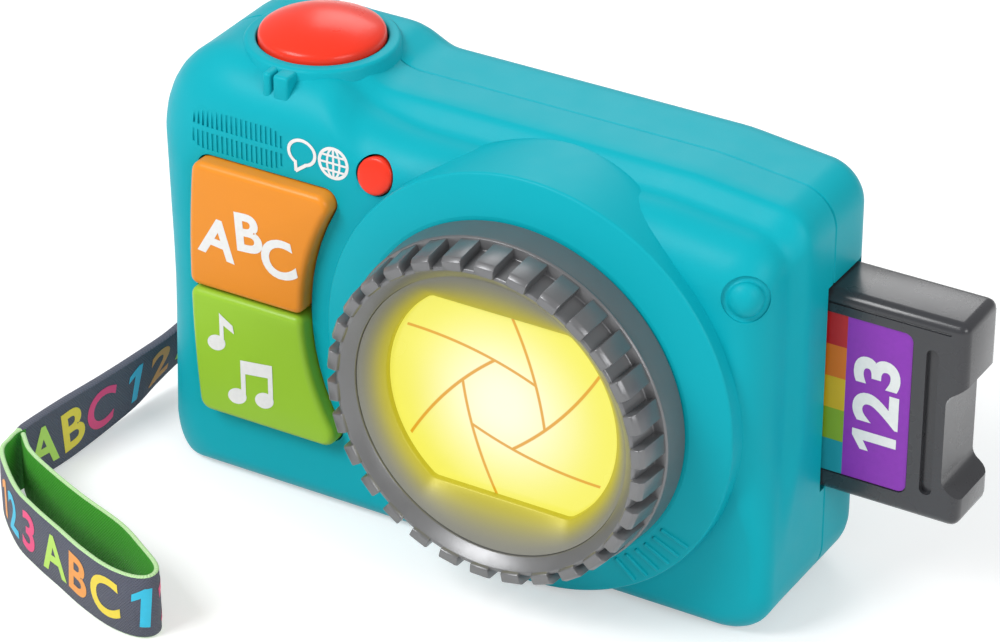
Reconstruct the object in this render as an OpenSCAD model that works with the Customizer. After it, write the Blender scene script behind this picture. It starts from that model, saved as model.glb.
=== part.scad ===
// Toy camera with a turning lens ring, press buttons and a sliding photo card.
// Frame: +X to the right as seen from the front, the lens looks along -Y, +Z is up.
// Origin: the middle of the flat base. All sizes are in millimetres.

/* [Body] */
// Width of the body
body_w = 160; // [154:1:172]
// Height of the straight part of the top
body_h = 102.5; // [101:0.5:112]
// Depth from the front face to the back face
body_d = 47; // [46:0.5:54]
// Depth of the back shell, from the seam to the back face
back_shell_d = 19.5; // [19:0.5:22]
// Wall of both shells
shell_wall = 2.2; // [1.6:0.1:2.6]
// Rise of the hump under the shutter button
hump_rise = 4; // [3:0.5:6]
// Depth of the soft valley below the top band
valley_depth = 3; // [1:0.5:4]

/* [Lens] */
// Lens axis to the right of the middle
lens_x = 22; // [18:0.5:26]
// Gap between the mound round the lens and the top of the body
mound_top_gap = 0.5; // [0.4:0.1:3]
// Gap between the mound and the base
mound_base_gap = 0.4; // [0.4:0.1:3]
// Height of the mound's edge above the front face
mound_h = 3.5; // [2:0.5:6]
// Width of the mound's slope outside the lens ring
mound_slope_w = 9.8; // [8:0.2:11]
// Thickness of the lens ring at its foot
ring_w = 7.1; // [6.8:0.1:9]
// Length of the lens ring along its axis
ring_len = 15.4; // [13:0.2:18]
// Number of grip blocks round the ring
ring_teeth = 36; // [24:1:44]
// Rim between the bore of the lens ring and the glowing window
window_rim = 4.9; // [4.5:0.1:8]
// How much the flats above and below take off the window's radius
window_clip = 5.6; // [3:0.2:10]

/* [Buttons] */
// Radius of the shutter button
shutter_r = 14.4; // [12:0.2:15]
// Shutter button from the left side of the body
shutter_in = 34; // [32:0.5:38]
// Travel of the shutter button
shutter_travel = 4; // [2:0.5:4]
// Left edge of the two big buttons from the left side of the body
button_in = 15; // [14:0.5:18]
// Bottom edge of the lower big button
button_low_z = 18.8; // [14:0.2:20]
// Upper big button's top edge below the top of the body
button_top_drop = 19.2; // [18.8:0.2:24]
// How far the big buttons stand out of the front face
button_proud = 4; // [2:0.5:6]
// Travel of the big buttons
button_travel = 2; // [1:0.5:2.5]
// Radius of the small round button
small_button_r = 4.4; // [3.5:0.1:5]

/* [Photo card] */
// Height of the card
card_h = 50.5; // [44:0.5:52]
// Thickness of the card
card_t = 16; // [12:0.5:16]
// How far the pulled card stands out of the side
card_out = 32.6; // [26:0.2:36]
// Length of card that stays in the guide when it is pulled out
card_held = 24; // [20:0.5:25]
// Middle of the card above the middle of the body
card_rise = 1.3; // [0:0.1:3]
// Gap between the card and its guide
card_gap = 0.35; // [0.3:0.05:0.5]

/* [Strap] */
// Width of the woven strap
strap_w = 16; // [12:1:18]
// Thickness of one layer of the strap
strap_t = 1.1; // [0.8:0.1:1.2]

/* [Hidden] */
$fn = 64;

// Places that the sizes above settle
half_w = body_w / 2;
front_y = -body_d / 2;
back_y = body_d / 2;
seam_y = back_y - back_shell_d;
hump_top = body_h + hump_rise;
inner_front_y = front_y + shell_wall;
inner_back_y = back_y - shell_wall;
mound_r = (body_h - mound_top_gap - mound_base_gap) / 2;
lens_z = mound_base_gap + mound_r;
ring_r = mound_r - mound_slope_w;
overrun = 1;
run_gap = 0.08;
side_gap = 0.4;
face_gap = 0.3;

// Outline of the body seen from the front
corner_bl = 9;
corner_br = 12;
corner_tl = 21;
corner_tr = 9;
waist = 1.6;
waist_z = 46;
waist_r = 300;
hump_w = 47;
hump_end_x = -half_w + hump_w;
hump_run = 8;
hump_blend_r = 10;
shoulder_run = 28;
shoulder_drop = 3;
shoulder_r = 40;
corner_step_deg = 15;

// Section of the shells: how round each edge is, and the valley below the top band
top_roll = 14;
hump_roll = 15;
base_roll = 6;
left_roll = 12;
right_roll = 4;
back_roll = 8;
valley_y = -7.5;
band_y = valley_y + valley_depth;
valley_r = 2.5;
band_r = 2;
hump_tail = 4;
top_join_in = 30;
top_join_x = -half_w + top_join_in;
scoop_r = 8;
scoop_y = -14;
scoop_depth = 3.4;
scoop_low_z = 48;
scoop_top_drop = 14;
scoop_high_z = body_h - scoop_top_drop;

// Mound, bump, tick ridges, lug and grille on the front shell
mound_rise = 2.5;
mound_wall = 2.2;
mound_lap = 0.6;
mound_flat_r = ring_r + mound_lap;
bump_in = 7.5;
bump_x = half_w - bump_in;
bump_drop = 17.5;
bump_z = body_h - bump_drop;
bump_r = 3.6;
bump_rise = 1.6;
bump_groove_r = 4.9;
bump_groove_d = 0.7;
tick_count = 6;
tick_first_deg = -31;
tick_step_deg = -3.4;
tick_len = 6;
tick_w = 0.9;
tick_rise = 0.6;
tick_end_in = 1.4;
lug_in = 31.6;
lug_x = -half_w + lug_in;
lug_drop = 1.9;
lug_z = body_h - lug_drop;
lug_w = 6.4;
lug_h = 4.6;
lug_d = 4;
lug_y = -19.5;
lug_notch_w = 0.9;
lug_notch_d = 1.2;
grille_in = 26.4;
grille_x = -half_w + grille_in;
grille_drop = 13.4;
grille_z = body_h - grille_drop;
grille_w = 25;
grille_h = 9.4;
grille_bar = 1.2;
grille_slots = 18;
grille_slot_w = 0.75;

// Lens stack along its axis, measured forward from the middle of the body
mound_edge_a = mound_h - front_y;
seat_a = mound_edge_a + mound_rise;
ring_back_a = seat_a + face_gap;
ring_front_a = ring_back_a + ring_len;
hub_r = ring_r - ring_w;
hub_wall = 3.1;
hub_bore_r = hub_r - hub_wall;
hub_nose_in = 1.7;
hub_nose_r = hub_r - hub_nose_in;
window_r = hub_r - window_rim;
window_half_h = window_r - window_clip;
hub_rim = 0.9;
hub_step_back = 3.2;
hub_front_back = 0.9;
hub_hole_gap = 0.2;
flange_room = 2.6;
flange_r = mound_r - mound_wall - flange_room;
flange_t = 2.5;
flange_a = 24;
bead_a_share = 0.42;
bead_w = 1.6;
bead_rise = 0.7;
window_t = 2;
window_back = 7.6;
window_lip = 1.4;
bezel_screw_in = 3;
bezel_screw_r = flange_r - bezel_screw_in;
bezel_screw_count = 4;
bezel_boss_r = 3;
ring_bore_r = hub_r + run_gap;
ring_nose_r = hub_nose_r + face_gap;
ring_wall_share = 0.4;
ring_taper = 1;
ring_shoulder_r = ring_r - ring_taper;
ring_step = 3.6;
ring_crown_r = ring_r - ring_step;
ring_ridge = 0.5;
ring_ridge_w = 1;
tooth_rise = 2.1;
tooth_front_rise = 0.9;
tooth_lap = 3;
tooth_w = 4.1;
tooth_set = 0.4;
tooth_chamfer = 1.3;
light_board_in = 0.5;
light_board_r = flange_r - light_board_in;
board_t = 1.6;
led_r = 2.5;
led_h = 5;
led_ring_r = 14;
led_count = 5;

// Shutter button, its collar and its guide
shutter_x = -half_w + shutter_in;
collar_rise = 0.7;
collar_top = hump_top + collar_rise;
collar_lip_t = 2.8;
collar_lip_z = collar_top - collar_lip_t;
collar_drop = 7.7;
collar_w = 2.8;
collar_r = shutter_r + collar_w;
collar_foot_w = 4.6;
collar_foot_r = shutter_r + collar_foot_w;
shutter_well_w = 1.6;
shutter_well_r = shutter_r + shutter_well_w;
shutter_flange_w = 1.2;
shutter_flange_r = shutter_r + shutter_flange_w;
shutter_flange_t = 1.8;
shutter_rise = 2;
shutter_dome = 3.2;
shutter_edge_r = 2;
shutter_wall = 2;
shutter_deck_t = 1.6;
stem_r = 2.4;
shelf_drop = 18.5;
shelf_z = hump_top - shelf_drop;
shelf_t = 2;
shelf_front_y = -4.6;
shelf_half_w = 12;
guide_collar_r = 4.4;
spring_r = 4.1;
spring_wire_r = 0.5;
spring_turns = 4;
spring_turn_steps = 12;
spring_sides = 6;

// Big buttons and the small button
button_mid_gap = 0.7;
button_h = (body_h - button_top_drop - button_low_z - button_mid_gap) / 2;
button_face_y = front_y - button_proud;
button_arc_w = 8.6;
button_arc_r = mound_r + button_arc_w;
button_bow = 3;
button_corner_r = 4;
button_seam_r = 2;
button_edge = 1.4;
button_flange = 1.4;
button_flange_t = 1.4;
button_arc_steps = 6;
button_stem_r = 3;
small_button_out = 5.28;
small_button_drop = 12;
small_button_z = body_h - small_button_drop;
small_button_x = lens_x - sqrt(pow(mound_r + small_button_out, 2) - pow(small_button_z - lens_z, 2));
small_button_proud = 0.6;
small_boss_wall = 1.3;
small_boss_front_y = -17.5;
small_boss_back_y = -13.5;
small_flange = 1.6;
small_flange_t = 1.2;

// Main board and what sits on it
board_front_y = -5;
board_in = 5.5;
board_left = -half_w + board_in;
board_tab_right = 6;
board_right = small_button_x + board_tab_right;
board_low_z = 16;
board_mid_drop = 30.5;
board_mid_z = body_h - board_mid_drop;
board_shelf_gap = 2.5;
board_top_z = shelf_z - board_shelf_gap;
board_top_w = 8;
board_top_right = shutter_x + board_top_w;
board_tab_w = 8;
board_tab_left = small_button_x - board_tab_w;
board_tab_rise = 6;
board_tab_top = small_button_z + board_tab_rise;
board_boss_r = 2.6;
board_boss_in = 9;
board_boss_x = -half_w + board_boss_in;
board_boss_low_z = 25;
board_boss_drop = 34.5;
board_boss_high_z = body_h - board_boss_drop;
board_boss_out = 3.9;
board_boss_lens_r = mound_r + board_boss_out;
switch_w = 6;
switch_h = 3.4;
switch_cap_r = 2.2;
switch_cap_h = 0.8;
switch_gap = 0.5;
shutter_switch_drop = 5;
speaker_in = 26;
speaker_x = -half_w + speaker_in;
speaker_drop = 19;
speaker_z = body_h - speaker_drop;
speaker_r = 11.5;
speaker_d = 7;
speaker_magnet_r = 7;
speaker_magnet_share = 0.45;
speaker_dish = 1.6;
speaker_switch_gap = 4.65;

// Battery box, cells and door
cell_r = 7.25;
cell_len = 50.5;
cell_tip_r = 2.7;
cell_tip_h = 1.2;
cell_gap = 0.5;
contact_room = 3;
contact_t = 0.5;
box_wall = 1.6;
box_in = 12.4;
box_left = -half_w + box_in;
box_mid_drop = 0.25;
box_mid_z = body_h / 2 - box_mid_drop;
box_flange = 3;
box_flange_t = 1.4;
door_tab = 10;
door_gap = 0.3;
door_grip_count = 4;
door_grip_w = 1.2;
door_grip_d = 0.6;
door_grip_step = 3;
door_grip_h = 12;

// Screws and posts
post_r = 4;
post_in = 12;
post_x = half_w - post_in;
post_low_in = 14;
post_low_x = -half_w + post_low_in;
post_high_in = 8;
post_high_x = -half_w + post_high_in;
post_low_z = 10;
post_top_drop = 11.5;
post_high_z = body_h - post_top_drop;
post_mid_in = 38;
post_mid_x = lens_x - post_mid_in;
post_mid_z = 8;
pilot_r = 1.3;
pilot_d = 14;
shank_r = 1.28;
clear_r = 1.7;
head_r = 3.1;
head_t = 2;
head_well_r = 3.5;
head_depth = 6;
head_seat_y = seam_y + head_depth;
drive_r = 1.9;
drive_w = 0.7;
drive_d = 0.8;
small_shank_len = 6;
small_shank_r = 0.98;
small_pilot_r = 1;
small_clear_r = 1.4;
small_head_r = 2.2;
small_head_t = 1.5;

// Photo card and its guide
card_z = body_h / 2 + card_rise - card_h / 2;
card_seam_in = 2;
card_y = seam_y - card_seam_in;
card_end_x = half_w + card_out;
card_start_x = half_w - card_held;
card_edge_r = 2.5;
card_slot_gap = 0.5;
card_step_w = 2.4;
card_step_d = 0.9;
card_step_in = 3;
label_in = 5.4;
label_end_in = 13.6;
label_recess = 0.7;
label_t = 0.4;
rib_in = 7.6;
rib_w = 2;
rib_d = 0.8;
rib_margin = 9;
notch_depth = 4.2;
notch_h = 22;
notch_low = 10;
notch_slope = 3;
card_nib = 1.2;
card_nib_len = 4;
guide_wall = 1.8;
guide_lip = 4;
guide_stop = 3;
guide_end_room = 1.5;
card_stop = 0.6;
card_travel = card_out - card_stop;
post_guide_gap = 0.5;
post_card_z = card_z + card_h + card_gap + card_nib + guide_wall + post_guide_gap + post_r;

// Power switch in the back shell
power_x = -20;
power_drop = 4;
power_z = body_h - back_roll - power_drop;
power_travel = 8;
power_grip_w = 5;
power_grip_h = 5;
power_neck_h = 3;
power_grip_out = 1.4;
power_plate_t = 1.2;
power_plate_lap = 2;
power_recess = 1.1;
power_ledge_t = 2;
power_ledge_top = power_z - power_neck_h / 2 - power_plate_lap - face_gap;
switch_body_d = 6;

// Strap pocket, bar and strap
pocket_low_z = 10;
pocket_h = 24;
pocket_seam_in = 5;
pocket_y = seam_y + pocket_seam_in;
pocket_w = 10;
pocket_d = 7;
pocket_wall = 1.6;
bar_r = 1.8;
bar_in = 3;
bar_seat = 1.2;
bar_y = pocket_y + pocket_w / 2;
bar_z = pocket_low_z + pocket_h / 2;
bar_x = -half_w + bar_in;
eye_gap = 0.3;
lead_t = 2 * strap_t;
// Route of the lead: x, y, height of the strap's middle line, lean of its top edge to the right
lead_route = [[-80.5, 14, 22, 0], [-85, 10.5, 19, 2], [-89, 5, 15, 5], [-91.5, -3, 11.5, 5],
    [-93, -12, 9.5, 3], [-94.5, -24, 8.5, 1.5], [-96, -36, 8, 0], [-97, -46, 8, 0],
    [-96.4, -51.1, 8, 0]];
// Route of the hand loop, once round, standing on its edge
loop_route = [[-96, -52, 8, 0], [-97, -56, 8, 0], [-95, -62, 8, 0], [-84, -72, 8, 0], [-75, -77, 8, 0],
    [-66, -81, 8, 0], [-57, -85, 8, 0], [-48, -88, 8, 0], [-41, -88.5, 8, 0], [-37.5, -86.5, 8, 0],
    [-38.5, -82.5, 8, 0], [-46, -77.5, 8, 0], [-55, -72.5, 8, 0], [-69, -67.5, 8, 0],
    [-81, -62.5, 8, 0], [-90, -58, 8, 0], [-94, -55, 8, 0]];

// Small helpers for curves
function unit(v) = v / norm(v);
function turned(v) = [-v[1], v[0]];
function mix(a, b, t) = a + (b - a) * t;
function wrapped(list, i) = list[(i + len(list)) % len(list)];

// Points of a corner at p between its neighbours a and b, rounded to radius r
function corner_points(a, p, b, r) = r == 0 ? [p] :
    let(u = unit(a - p), v = unit(b - p), half = acos(u * v) / 2, reach = r / tan(half))
    let(c = p + unit(u + v) * r / sin(half), s = p + u * reach - c, e = p + v * reach - c)
    let(start = atan2(s[1], s[0]), sweep = (atan2(e[1], e[0]) - start + 540) % 360 - 180)
    let(n = max(2, round(abs(sweep) / corner_step_deg)))
    [for (i = [0:n]) c + r * [cos(start + sweep * i / n), sin(start + sweep * i / n)]];

// Closed path with rounded corners, from a list of [x, z, radius]
function rounded_path(corners) = [for (i = [0:len(corners) - 1])
    let(flat = function(c) [c[0], c[1]], here = corners[i])
    each corner_points(flat(wrapped(corners, i - 1)), flat(here), flat(wrapped(corners, i + 1)), here[2])];

// Outward direction at point i of a path that runs clockwise
function outward(path, i) = turned(unit(wrapped(path, i + 1) - wrapped(path, i - 1)));

// The path moved inward by d, for smooth closed paths
function inset_path(path, d) = [for (i = [0:len(path) - 1]) path[i] - d * outward(path, i)];

// Closed skin over rings of points, with a flat face at each end
module skin(rings) {
    n = len(rings[0]);
    last = (len(rings) - 1) * n;
    sides = [for (j = [0:len(rings) - 2], i = [0:n - 1], half = [0, 1])
        let(a = j * n + i, b = j * n + (i + 1) % n)
        half == 0 ? [a, b, b + n] : [a, b + n, a + n]];
    first_cap = [for (i = [n - 1:-1:0]) i];
    last_cap = [for (i = [0:n - 1]) last + i];
    polyhedron(points = [for (ring = rings) each ring], faces = concat(sides, [first_cap, last_cap]));
}

// Tube that closes on itself over rings of points
module closed_skin(rings) {
    n = len(rings[0]);
    m = len(rings);
    sides = [for (j = [0:m - 1], i = [0:n - 1], half = [0, 1])
        let(k = (j + 1) % m, a = j * n + i, b = j * n + (i + 1) % n, c = k * n + i, d = k * n + (i + 1) % n)
        half == 0 ? [a, b, d] : [a, d, c]];
    polyhedron(points = [for (ring = rings) each ring], faces = sides);
}

// Turns a shape drawn in the lens's own frame, with its axis along +Z, to face the front
module along_lens() translate([lens_x, 0, lens_z]) rotate([90, 0, 0]) children();

// Cylinder along Y from y0 to y1
module rod_y(x, z, y0, y1, r) translate([x, y1, z]) rotate([90, 0, 0]) cylinder(h = y1 - y0, r = r);

// Box between two corners
module box(low, high) translate(low) cube(high - low);

// Plate drawn in X and Z, from y0 to y1
module plate_y(y0, y1) translate([0, y1, 0]) rotate([90, 0, 0]) linear_extrude(y1 - y0) children();

// Left part of the outline, with the hump, drawn in by a wall's thickness
module left_outline(wall) polygon(inset_path(rounded_path([
    [-half_w, 0, corner_bl], [-half_w + waist, waist_z, waist_r], [-half_w, hump_top, corner_tl],
    [hump_end_x, hump_top, hump_blend_r],
    [hump_end_x + hump_run * hump_tail, hump_top - hump_rise * hump_tail, 0],
    [hump_end_x + hump_run * hump_tail, 0, 0]]), wall));

// Right part of the outline, with the sloping shoulder
module right_outline(wall) polygon(inset_path(rounded_path([
    [top_join_x, 0, 0], [top_join_x, body_h, 0], [half_w - shoulder_run, body_h, shoulder_r],
    [half_w, body_h - shoulder_drop, corner_tr], [half_w, 0, corner_br]]), wall));

// Side profile of the front shell, drawn in Y and Z and run along the width
module run_along_x() translate([-body_w, 0, 0]) rotate([90, 0, 90]) linear_extrude(2 * body_w) children();
module front_profile_right(wall, past) polygon(rounded_path(wall == 0 ?
    [[seam_y, 0, 0], [front_y, 0, base_roll], [front_y, body_h - valley_depth, top_roll],
        [valley_y, body_h - valley_depth, valley_r], [band_y, body_h, band_r], [seam_y, body_h, 0]] :
    [[seam_y + past, wall, 0], [front_y + wall, wall, base_roll - wall],
        [front_y + wall, body_h - valley_depth - wall, top_roll - wall],
        [seam_y + past, body_h - valley_depth - wall, 0]]));
module front_profile_left(wall, past) polygon(rounded_path(
    [[seam_y + past, wall, 0], [front_y + wall, wall, base_roll - wall],
        [front_y + wall, hump_top - wall, hump_roll - wall], [seam_y + past, hump_top - wall, 0]]));
module back_profile(wall, past) polygon(rounded_path(
    [[seam_y - past, wall, 0], [seam_y - past, hump_top - wall, 0],
        [back_y - wall, hump_top - wall, back_roll - wall], [back_y - wall, wall, back_roll - wall]]));
module back_profile_right(wall, past) polygon(rounded_path(
    [[seam_y - past, wall, 0], [seam_y - past, body_h - wall, 0],
        [back_y - wall, body_h - wall, back_roll - wall], [back_y - wall, wall, back_roll - wall]]));

// Plan profile, drawn in X and Y and run up the height
module run_along_z() linear_extrude(body_w) children();
module front_plan(wall, past) polygon(rounded_path(
    [[-half_w + wall, seam_y + past, 0], [half_w - wall, seam_y + past, 0],
        [half_w - wall, front_y + wall, right_roll - wall], [-half_w + wall, front_y + wall,
            left_roll - wall]]));
module back_plan(wall, past) polygon(rounded_path(
    [[-half_w + wall, seam_y - past, 0], [-half_w + wall, back_y - wall, back_roll - wall],
        [half_w - wall, back_y - wall, back_roll - wall], [half_w - wall, seam_y - past, 0]]));

// Solid of the front half, drawn in by a wall's thickness, and run past the seam where it is a hollow
module front_form(wall, past) {
    intersection() {
        plate_y(front_y, seam_y + past) left_outline(wall);
        run_along_x() front_profile_left(wall, past);
        run_along_z() front_plan(wall, past);
    }
    intersection() {
        plate_y(front_y, seam_y + past) right_outline(wall);
        run_along_x() front_profile_right(wall, past);
        run_along_z() front_plan(wall, past);
    }
}
module back_form(wall, past) {
    intersection() {
        plate_y(seam_y - past, back_y) left_outline(wall);
        run_along_x() back_profile(wall, past);
        run_along_z() back_plan(wall, past);
    }
    intersection() {
        plate_y(seam_y - past, back_y) right_outline(wall);
        run_along_x() back_profile_right(wall, past);
        run_along_z() back_plan(wall, past);
    }
}

// Finger scoop down the right side, as a ball-nosed cutter leaves it, and the same with a wall round it
module scoop(wall) translate([half_w + scoop_r - scoop_depth, scoop_y, 0]) {
    translate([0, 0, scoop_low_z]) cylinder(h = scoop_high_z - scoop_low_z, r = scoop_r + wall);
    for (z = [scoop_low_z, scoop_high_z]) translate([0, 0, z]) sphere(r = scoop_r + wall);
}

// Screw posts that join the two shells
post_places = [[post_low_x, post_low_z], [post_x, post_low_z], [post_high_x, post_high_z],
    [post_x, post_card_z], [post_mid_x, post_mid_z]];
board_boss_places = [[board_boss_x, board_boss_low_z], [board_boss_x, board_boss_high_z],
    [lens_x - board_boss_lens_r, lens_z]];

// Collar round the shutter button, and the stepped well in it for the button and its flange
module shutter_collar() translate([shutter_x, 0, collar_top - collar_drop])
    cylinder(h = collar_drop, r1 = collar_foot_r, r2 = collar_r);
module shutter_well() translate([shutter_x, 0, 0]) rotate_extrude() polygon([
    [0, shelf_z], [shutter_well_r, shelf_z], [shutter_well_r, collar_lip_z],
    [shutter_r + face_gap, collar_lip_z], [shutter_r + face_gap, collar_top + overrun], [0,
        collar_top + overrun]]);
module front_half() intersection() {
    children();
    box([-body_w, front_y - body_d, 0], [body_w, seam_y, body_w]);
}
module back_half() intersection() {
    children();
    box([-body_w, seam_y, 0], [body_w, back_y + body_d, body_w]);
}

// Raised mound, and the hollow behind it with bosses for the screws of the bezel
module mound() along_lens() rotate_extrude() polygon([
    [0, -seam_y], [mound_r, -seam_y], [mound_r, mound_edge_a],
    [mound_flat_r, seat_a], [0, seat_a]]);
module mound_hollow() along_lens() difference() {
    rotate_extrude() polygon([
        [0, -seam_y], [mound_r - mound_wall, -seam_y], [mound_r - mound_wall, mound_edge_a - mound_wall],
        [mound_flat_r, seat_a - mound_wall], [hub_r + hub_hole_gap, seat_a - mound_wall],
        [hub_r + hub_hole_gap, seat_a + overrun], [0, seat_a + overrun]]);
    for (k = [0:bezel_screw_count - 1]) rotate([0, 0, 45 + 360 * k / bezel_screw_count])
        translate([bezel_screw_r, 0, flange_a]) cylinder(h = seat_a - flange_a, r = bezel_boss_r);
}

// Short ridges on the lower right of the mound
module mound_ticks() along_lens() for (k = [0:tick_count - 1])
    rotate([0, 0, tick_first_deg + k * tick_step_deg])
    translate([mound_r - tick_end_in - tick_len, -tick_w / 2, mound_edge_a - mound_wall / 2])
    cube([tick_len, tick_w, mound_wall / 2 + tick_rise + mound_slope_at_tick]);
mound_slope_at_tick = mound_rise * (tick_end_in + tick_len / 2) / (mound_r - mound_flat_r);

// Double lug below the shutter collar
module lug() difference() {
    box([lug_x - lug_w / 2, lug_y, lug_z - lug_h / 2], [lug_x + lug_w / 2, lug_y + lug_d,
        lug_z + lug_h / 2]);
    box([lug_x - lug_notch_w / 2, lug_y - overrun, lug_z - lug_h],
        [lug_x + lug_notch_w / 2, lug_y + lug_notch_d, lug_z + lug_h]);
}

// Rounded bump in a ring groove, and the groove itself
module bump() translate([bump_x, front_y + shell_wall / 2, bump_z]) rotate([90, 0,
    0]) rotate_extrude() polygon(concat(
    [[0, 0], [bump_r, 0]],
    [for (k = [0:8]) [bump_r * cos(90 * k / 8), shell_wall / 2 + bump_rise * sin(90 * k / 8)]]));
module bump_groove() rod_y(bump_x, bump_z, front_y - overrun, front_y + bump_groove_d, bump_groove_r);

// Two rows of speaker slots
module grille_cuts() {
    row_h = (grille_h - 3 * grille_bar) / 2;
    pitch = (grille_w - 2 * grille_bar) / grille_slots;
    for (row = [-1, 1], k = [0:grille_slots - 1])
        translate([grille_x + (k - (grille_slots - 1) / 2) * pitch, front_y,
            grille_z + row * (row_h + grille_bar) / 2])
        cube([grille_slot_w, 4 * shell_wall, row_h], center = true);
}

// Outline of one big button between two heights, c smaller all round
function button_path(z0, z1, r0, r1, c) =
    let(left = -half_w + button_in, mid = (button_low_z + z_top_buttons) / 2, span = z_top_buttons - mid)
    let(left_x = function(z) left + button_bow * pow((z - mid) / span, 2))
    let(right_x = function(z) lens_x - sqrt(pow(button_arc_r, 2) - pow(z - lens_z, 2)))
    let(shares = [for (k = [1:button_arc_steps - 1]) k / button_arc_steps])
    inset_path(rounded_path(concat(
        [[left_x(z0), z0, r0]], [for (s = shares) [left_x(mix(z0, z1, s)), mix(z0, z1, s), 0]],
        [[left_x(z1), z1, r1]], [[right_x(z1), z1, r1]],
        [for (s = shares) [right_x(mix(z1, z0, s)), mix(z1, z0, s), 0]], [[right_x(z0), z0, r0]])), c);
z_top_buttons = button_low_z + 2 * button_h + button_mid_gap;
letters_low_z = button_low_z + button_h + button_mid_gap;
letters_path = button_path(letters_low_z, z_top_buttons, button_seam_r, button_corner_r, 0);
music_path = button_path(button_low_z, button_low_z + button_h, button_corner_r, button_seam_r, 0);
pocket_path = button_path(button_low_z, z_top_buttons, button_corner_r, button_corner_r, -side_gap);

module big_button(path, stem_x, stem_z, low, high) {
    ring = function(c, y) [for (p = inset_path(path, c)) [p[0], y, min(max(p[1], low), high)]];
    lip_y = inner_front_y + face_gap;
    skin([ring(-button_flange, lip_y + button_flange_t), ring(-button_flange, lip_y),
        ring(0, lip_y), ring(0, button_face_y + button_edge),
        ring(button_edge * (1 - cos(45)), button_face_y + button_edge * (1 - sin(45))),
        ring(button_edge, button_face_y)]);
    rod_y(stem_x, stem_z, inner_front_y, switch_top_y - switch_gap - button_travel, button_stem_r);
}
switch_top_y = board_front_y - switch_h - switch_cap_h;
letters_stem = [shutter_x - switch_w / 2, speaker_z - speaker_r - speaker_switch_gap];
music_stem = [shutter_x - switch_w / 2, button_low_z + button_h / 2];

module front_shell() color("#1fb5c4") difference() {
    union() {
        difference() {
            union() {
                front_form(0, 0);
                mound();
                front_half() shutter_collar();
                lug();
                bump();
            }
            difference() {
                front_form(shell_wall, overrun);
                scoop(shell_wall);
                for (p = post_places) rod_y(p[0], p[1], front_y, seam_y, post_r);
                for (p = board_boss_places) rod_y(p[0], p[1], front_y, board_front_y, board_boss_r);
                rod_y(small_button_x, small_button_z, small_boss_front_y, small_boss_back_y,
                    small_button_r + face_gap + small_boss_wall);
            }
            mound_hollow();
            shutter_well();
            scoop(0);
        }
        mound_ticks();
    }
    for (p = post_places) rod_y(p[0], p[1], seam_y - pilot_d, seam_y + overrun, pilot_r);
    for (p = board_boss_places)
        rod_y(p[0], p[1], board_front_y - small_shank_len, board_front_y + overrun, small_pilot_r);
    for (k = [0:bezel_screw_count - 1]) along_lens() rotate([0, 0, 45 + 360 * k / bezel_screw_count])
        translate([bezel_screw_r, 0, flange_a - overrun])
        cylinder(h = small_shank_len - flange_t + overrun, r = small_pilot_r);
    plate_y(front_y - overrun, inner_front_y + overrun) polygon(pocket_path);
    rod_y(small_button_x, small_button_z, front_y - overrun, small_boss_back_y + overrun,
        small_button_r + face_gap);
    difference() {
        bump_groove();
        bump();
    }
    grille_cuts();
    card_slot();
}

// Opening for the card in the right side
module card_slot() box([card_start_x, card_y - card_slot_gap, card_z - card_slot_gap],
    [half_w + overrun, card_y + card_t + card_slot_gap, card_z + card_h + card_slot_gap]);

// Shelf behind the shutter that guides its stem, and a ledge for the power switch
module shutter_shelf() {
    difference() {
        union() {
            box([shutter_x - shelf_half_w, shelf_front_y, shelf_z],
                [shutter_x + shelf_half_w, inner_back_y + shell_wall / 2, shelf_z + shelf_t]);
            translate([shutter_x, 0, shelf_z]) cylinder(h = shelf_t, r = guide_collar_r);
        }
        translate([shutter_x, 0, shelf_z - overrun]) cylinder(h = shelf_t + 2 * overrun,
            r = stem_r + run_gap);
    }
    box([power_x - power_travel, inner_back_y - power_plate_t - face_gap - switch_body_d,
        power_ledge_top - power_ledge_t],
        [power_x + power_travel, inner_back_y + shell_wall / 2, power_ledge_top]);
}

// Places of the battery box
box_in_left = box_left + box_wall;
box_in_right = box_in_left + cell_len + cell_tip_h + 2 * contact_room;
box_half_h = 2 * cell_r + cell_gap + cell_gap / 2;
cell_y = inner_back_y - cell_r - 2 * cell_gap;
box_front_y = cell_y - cell_r - cell_gap - box_wall;
door_left = box_left;
door_right = box_in_right + box_wall + door_tab;
door_low = box_mid_z - box_half_h - box_wall;
door_high = box_mid_z + box_half_h + box_wall;
door_screw_x = door_right - door_tab / 2;

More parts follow.
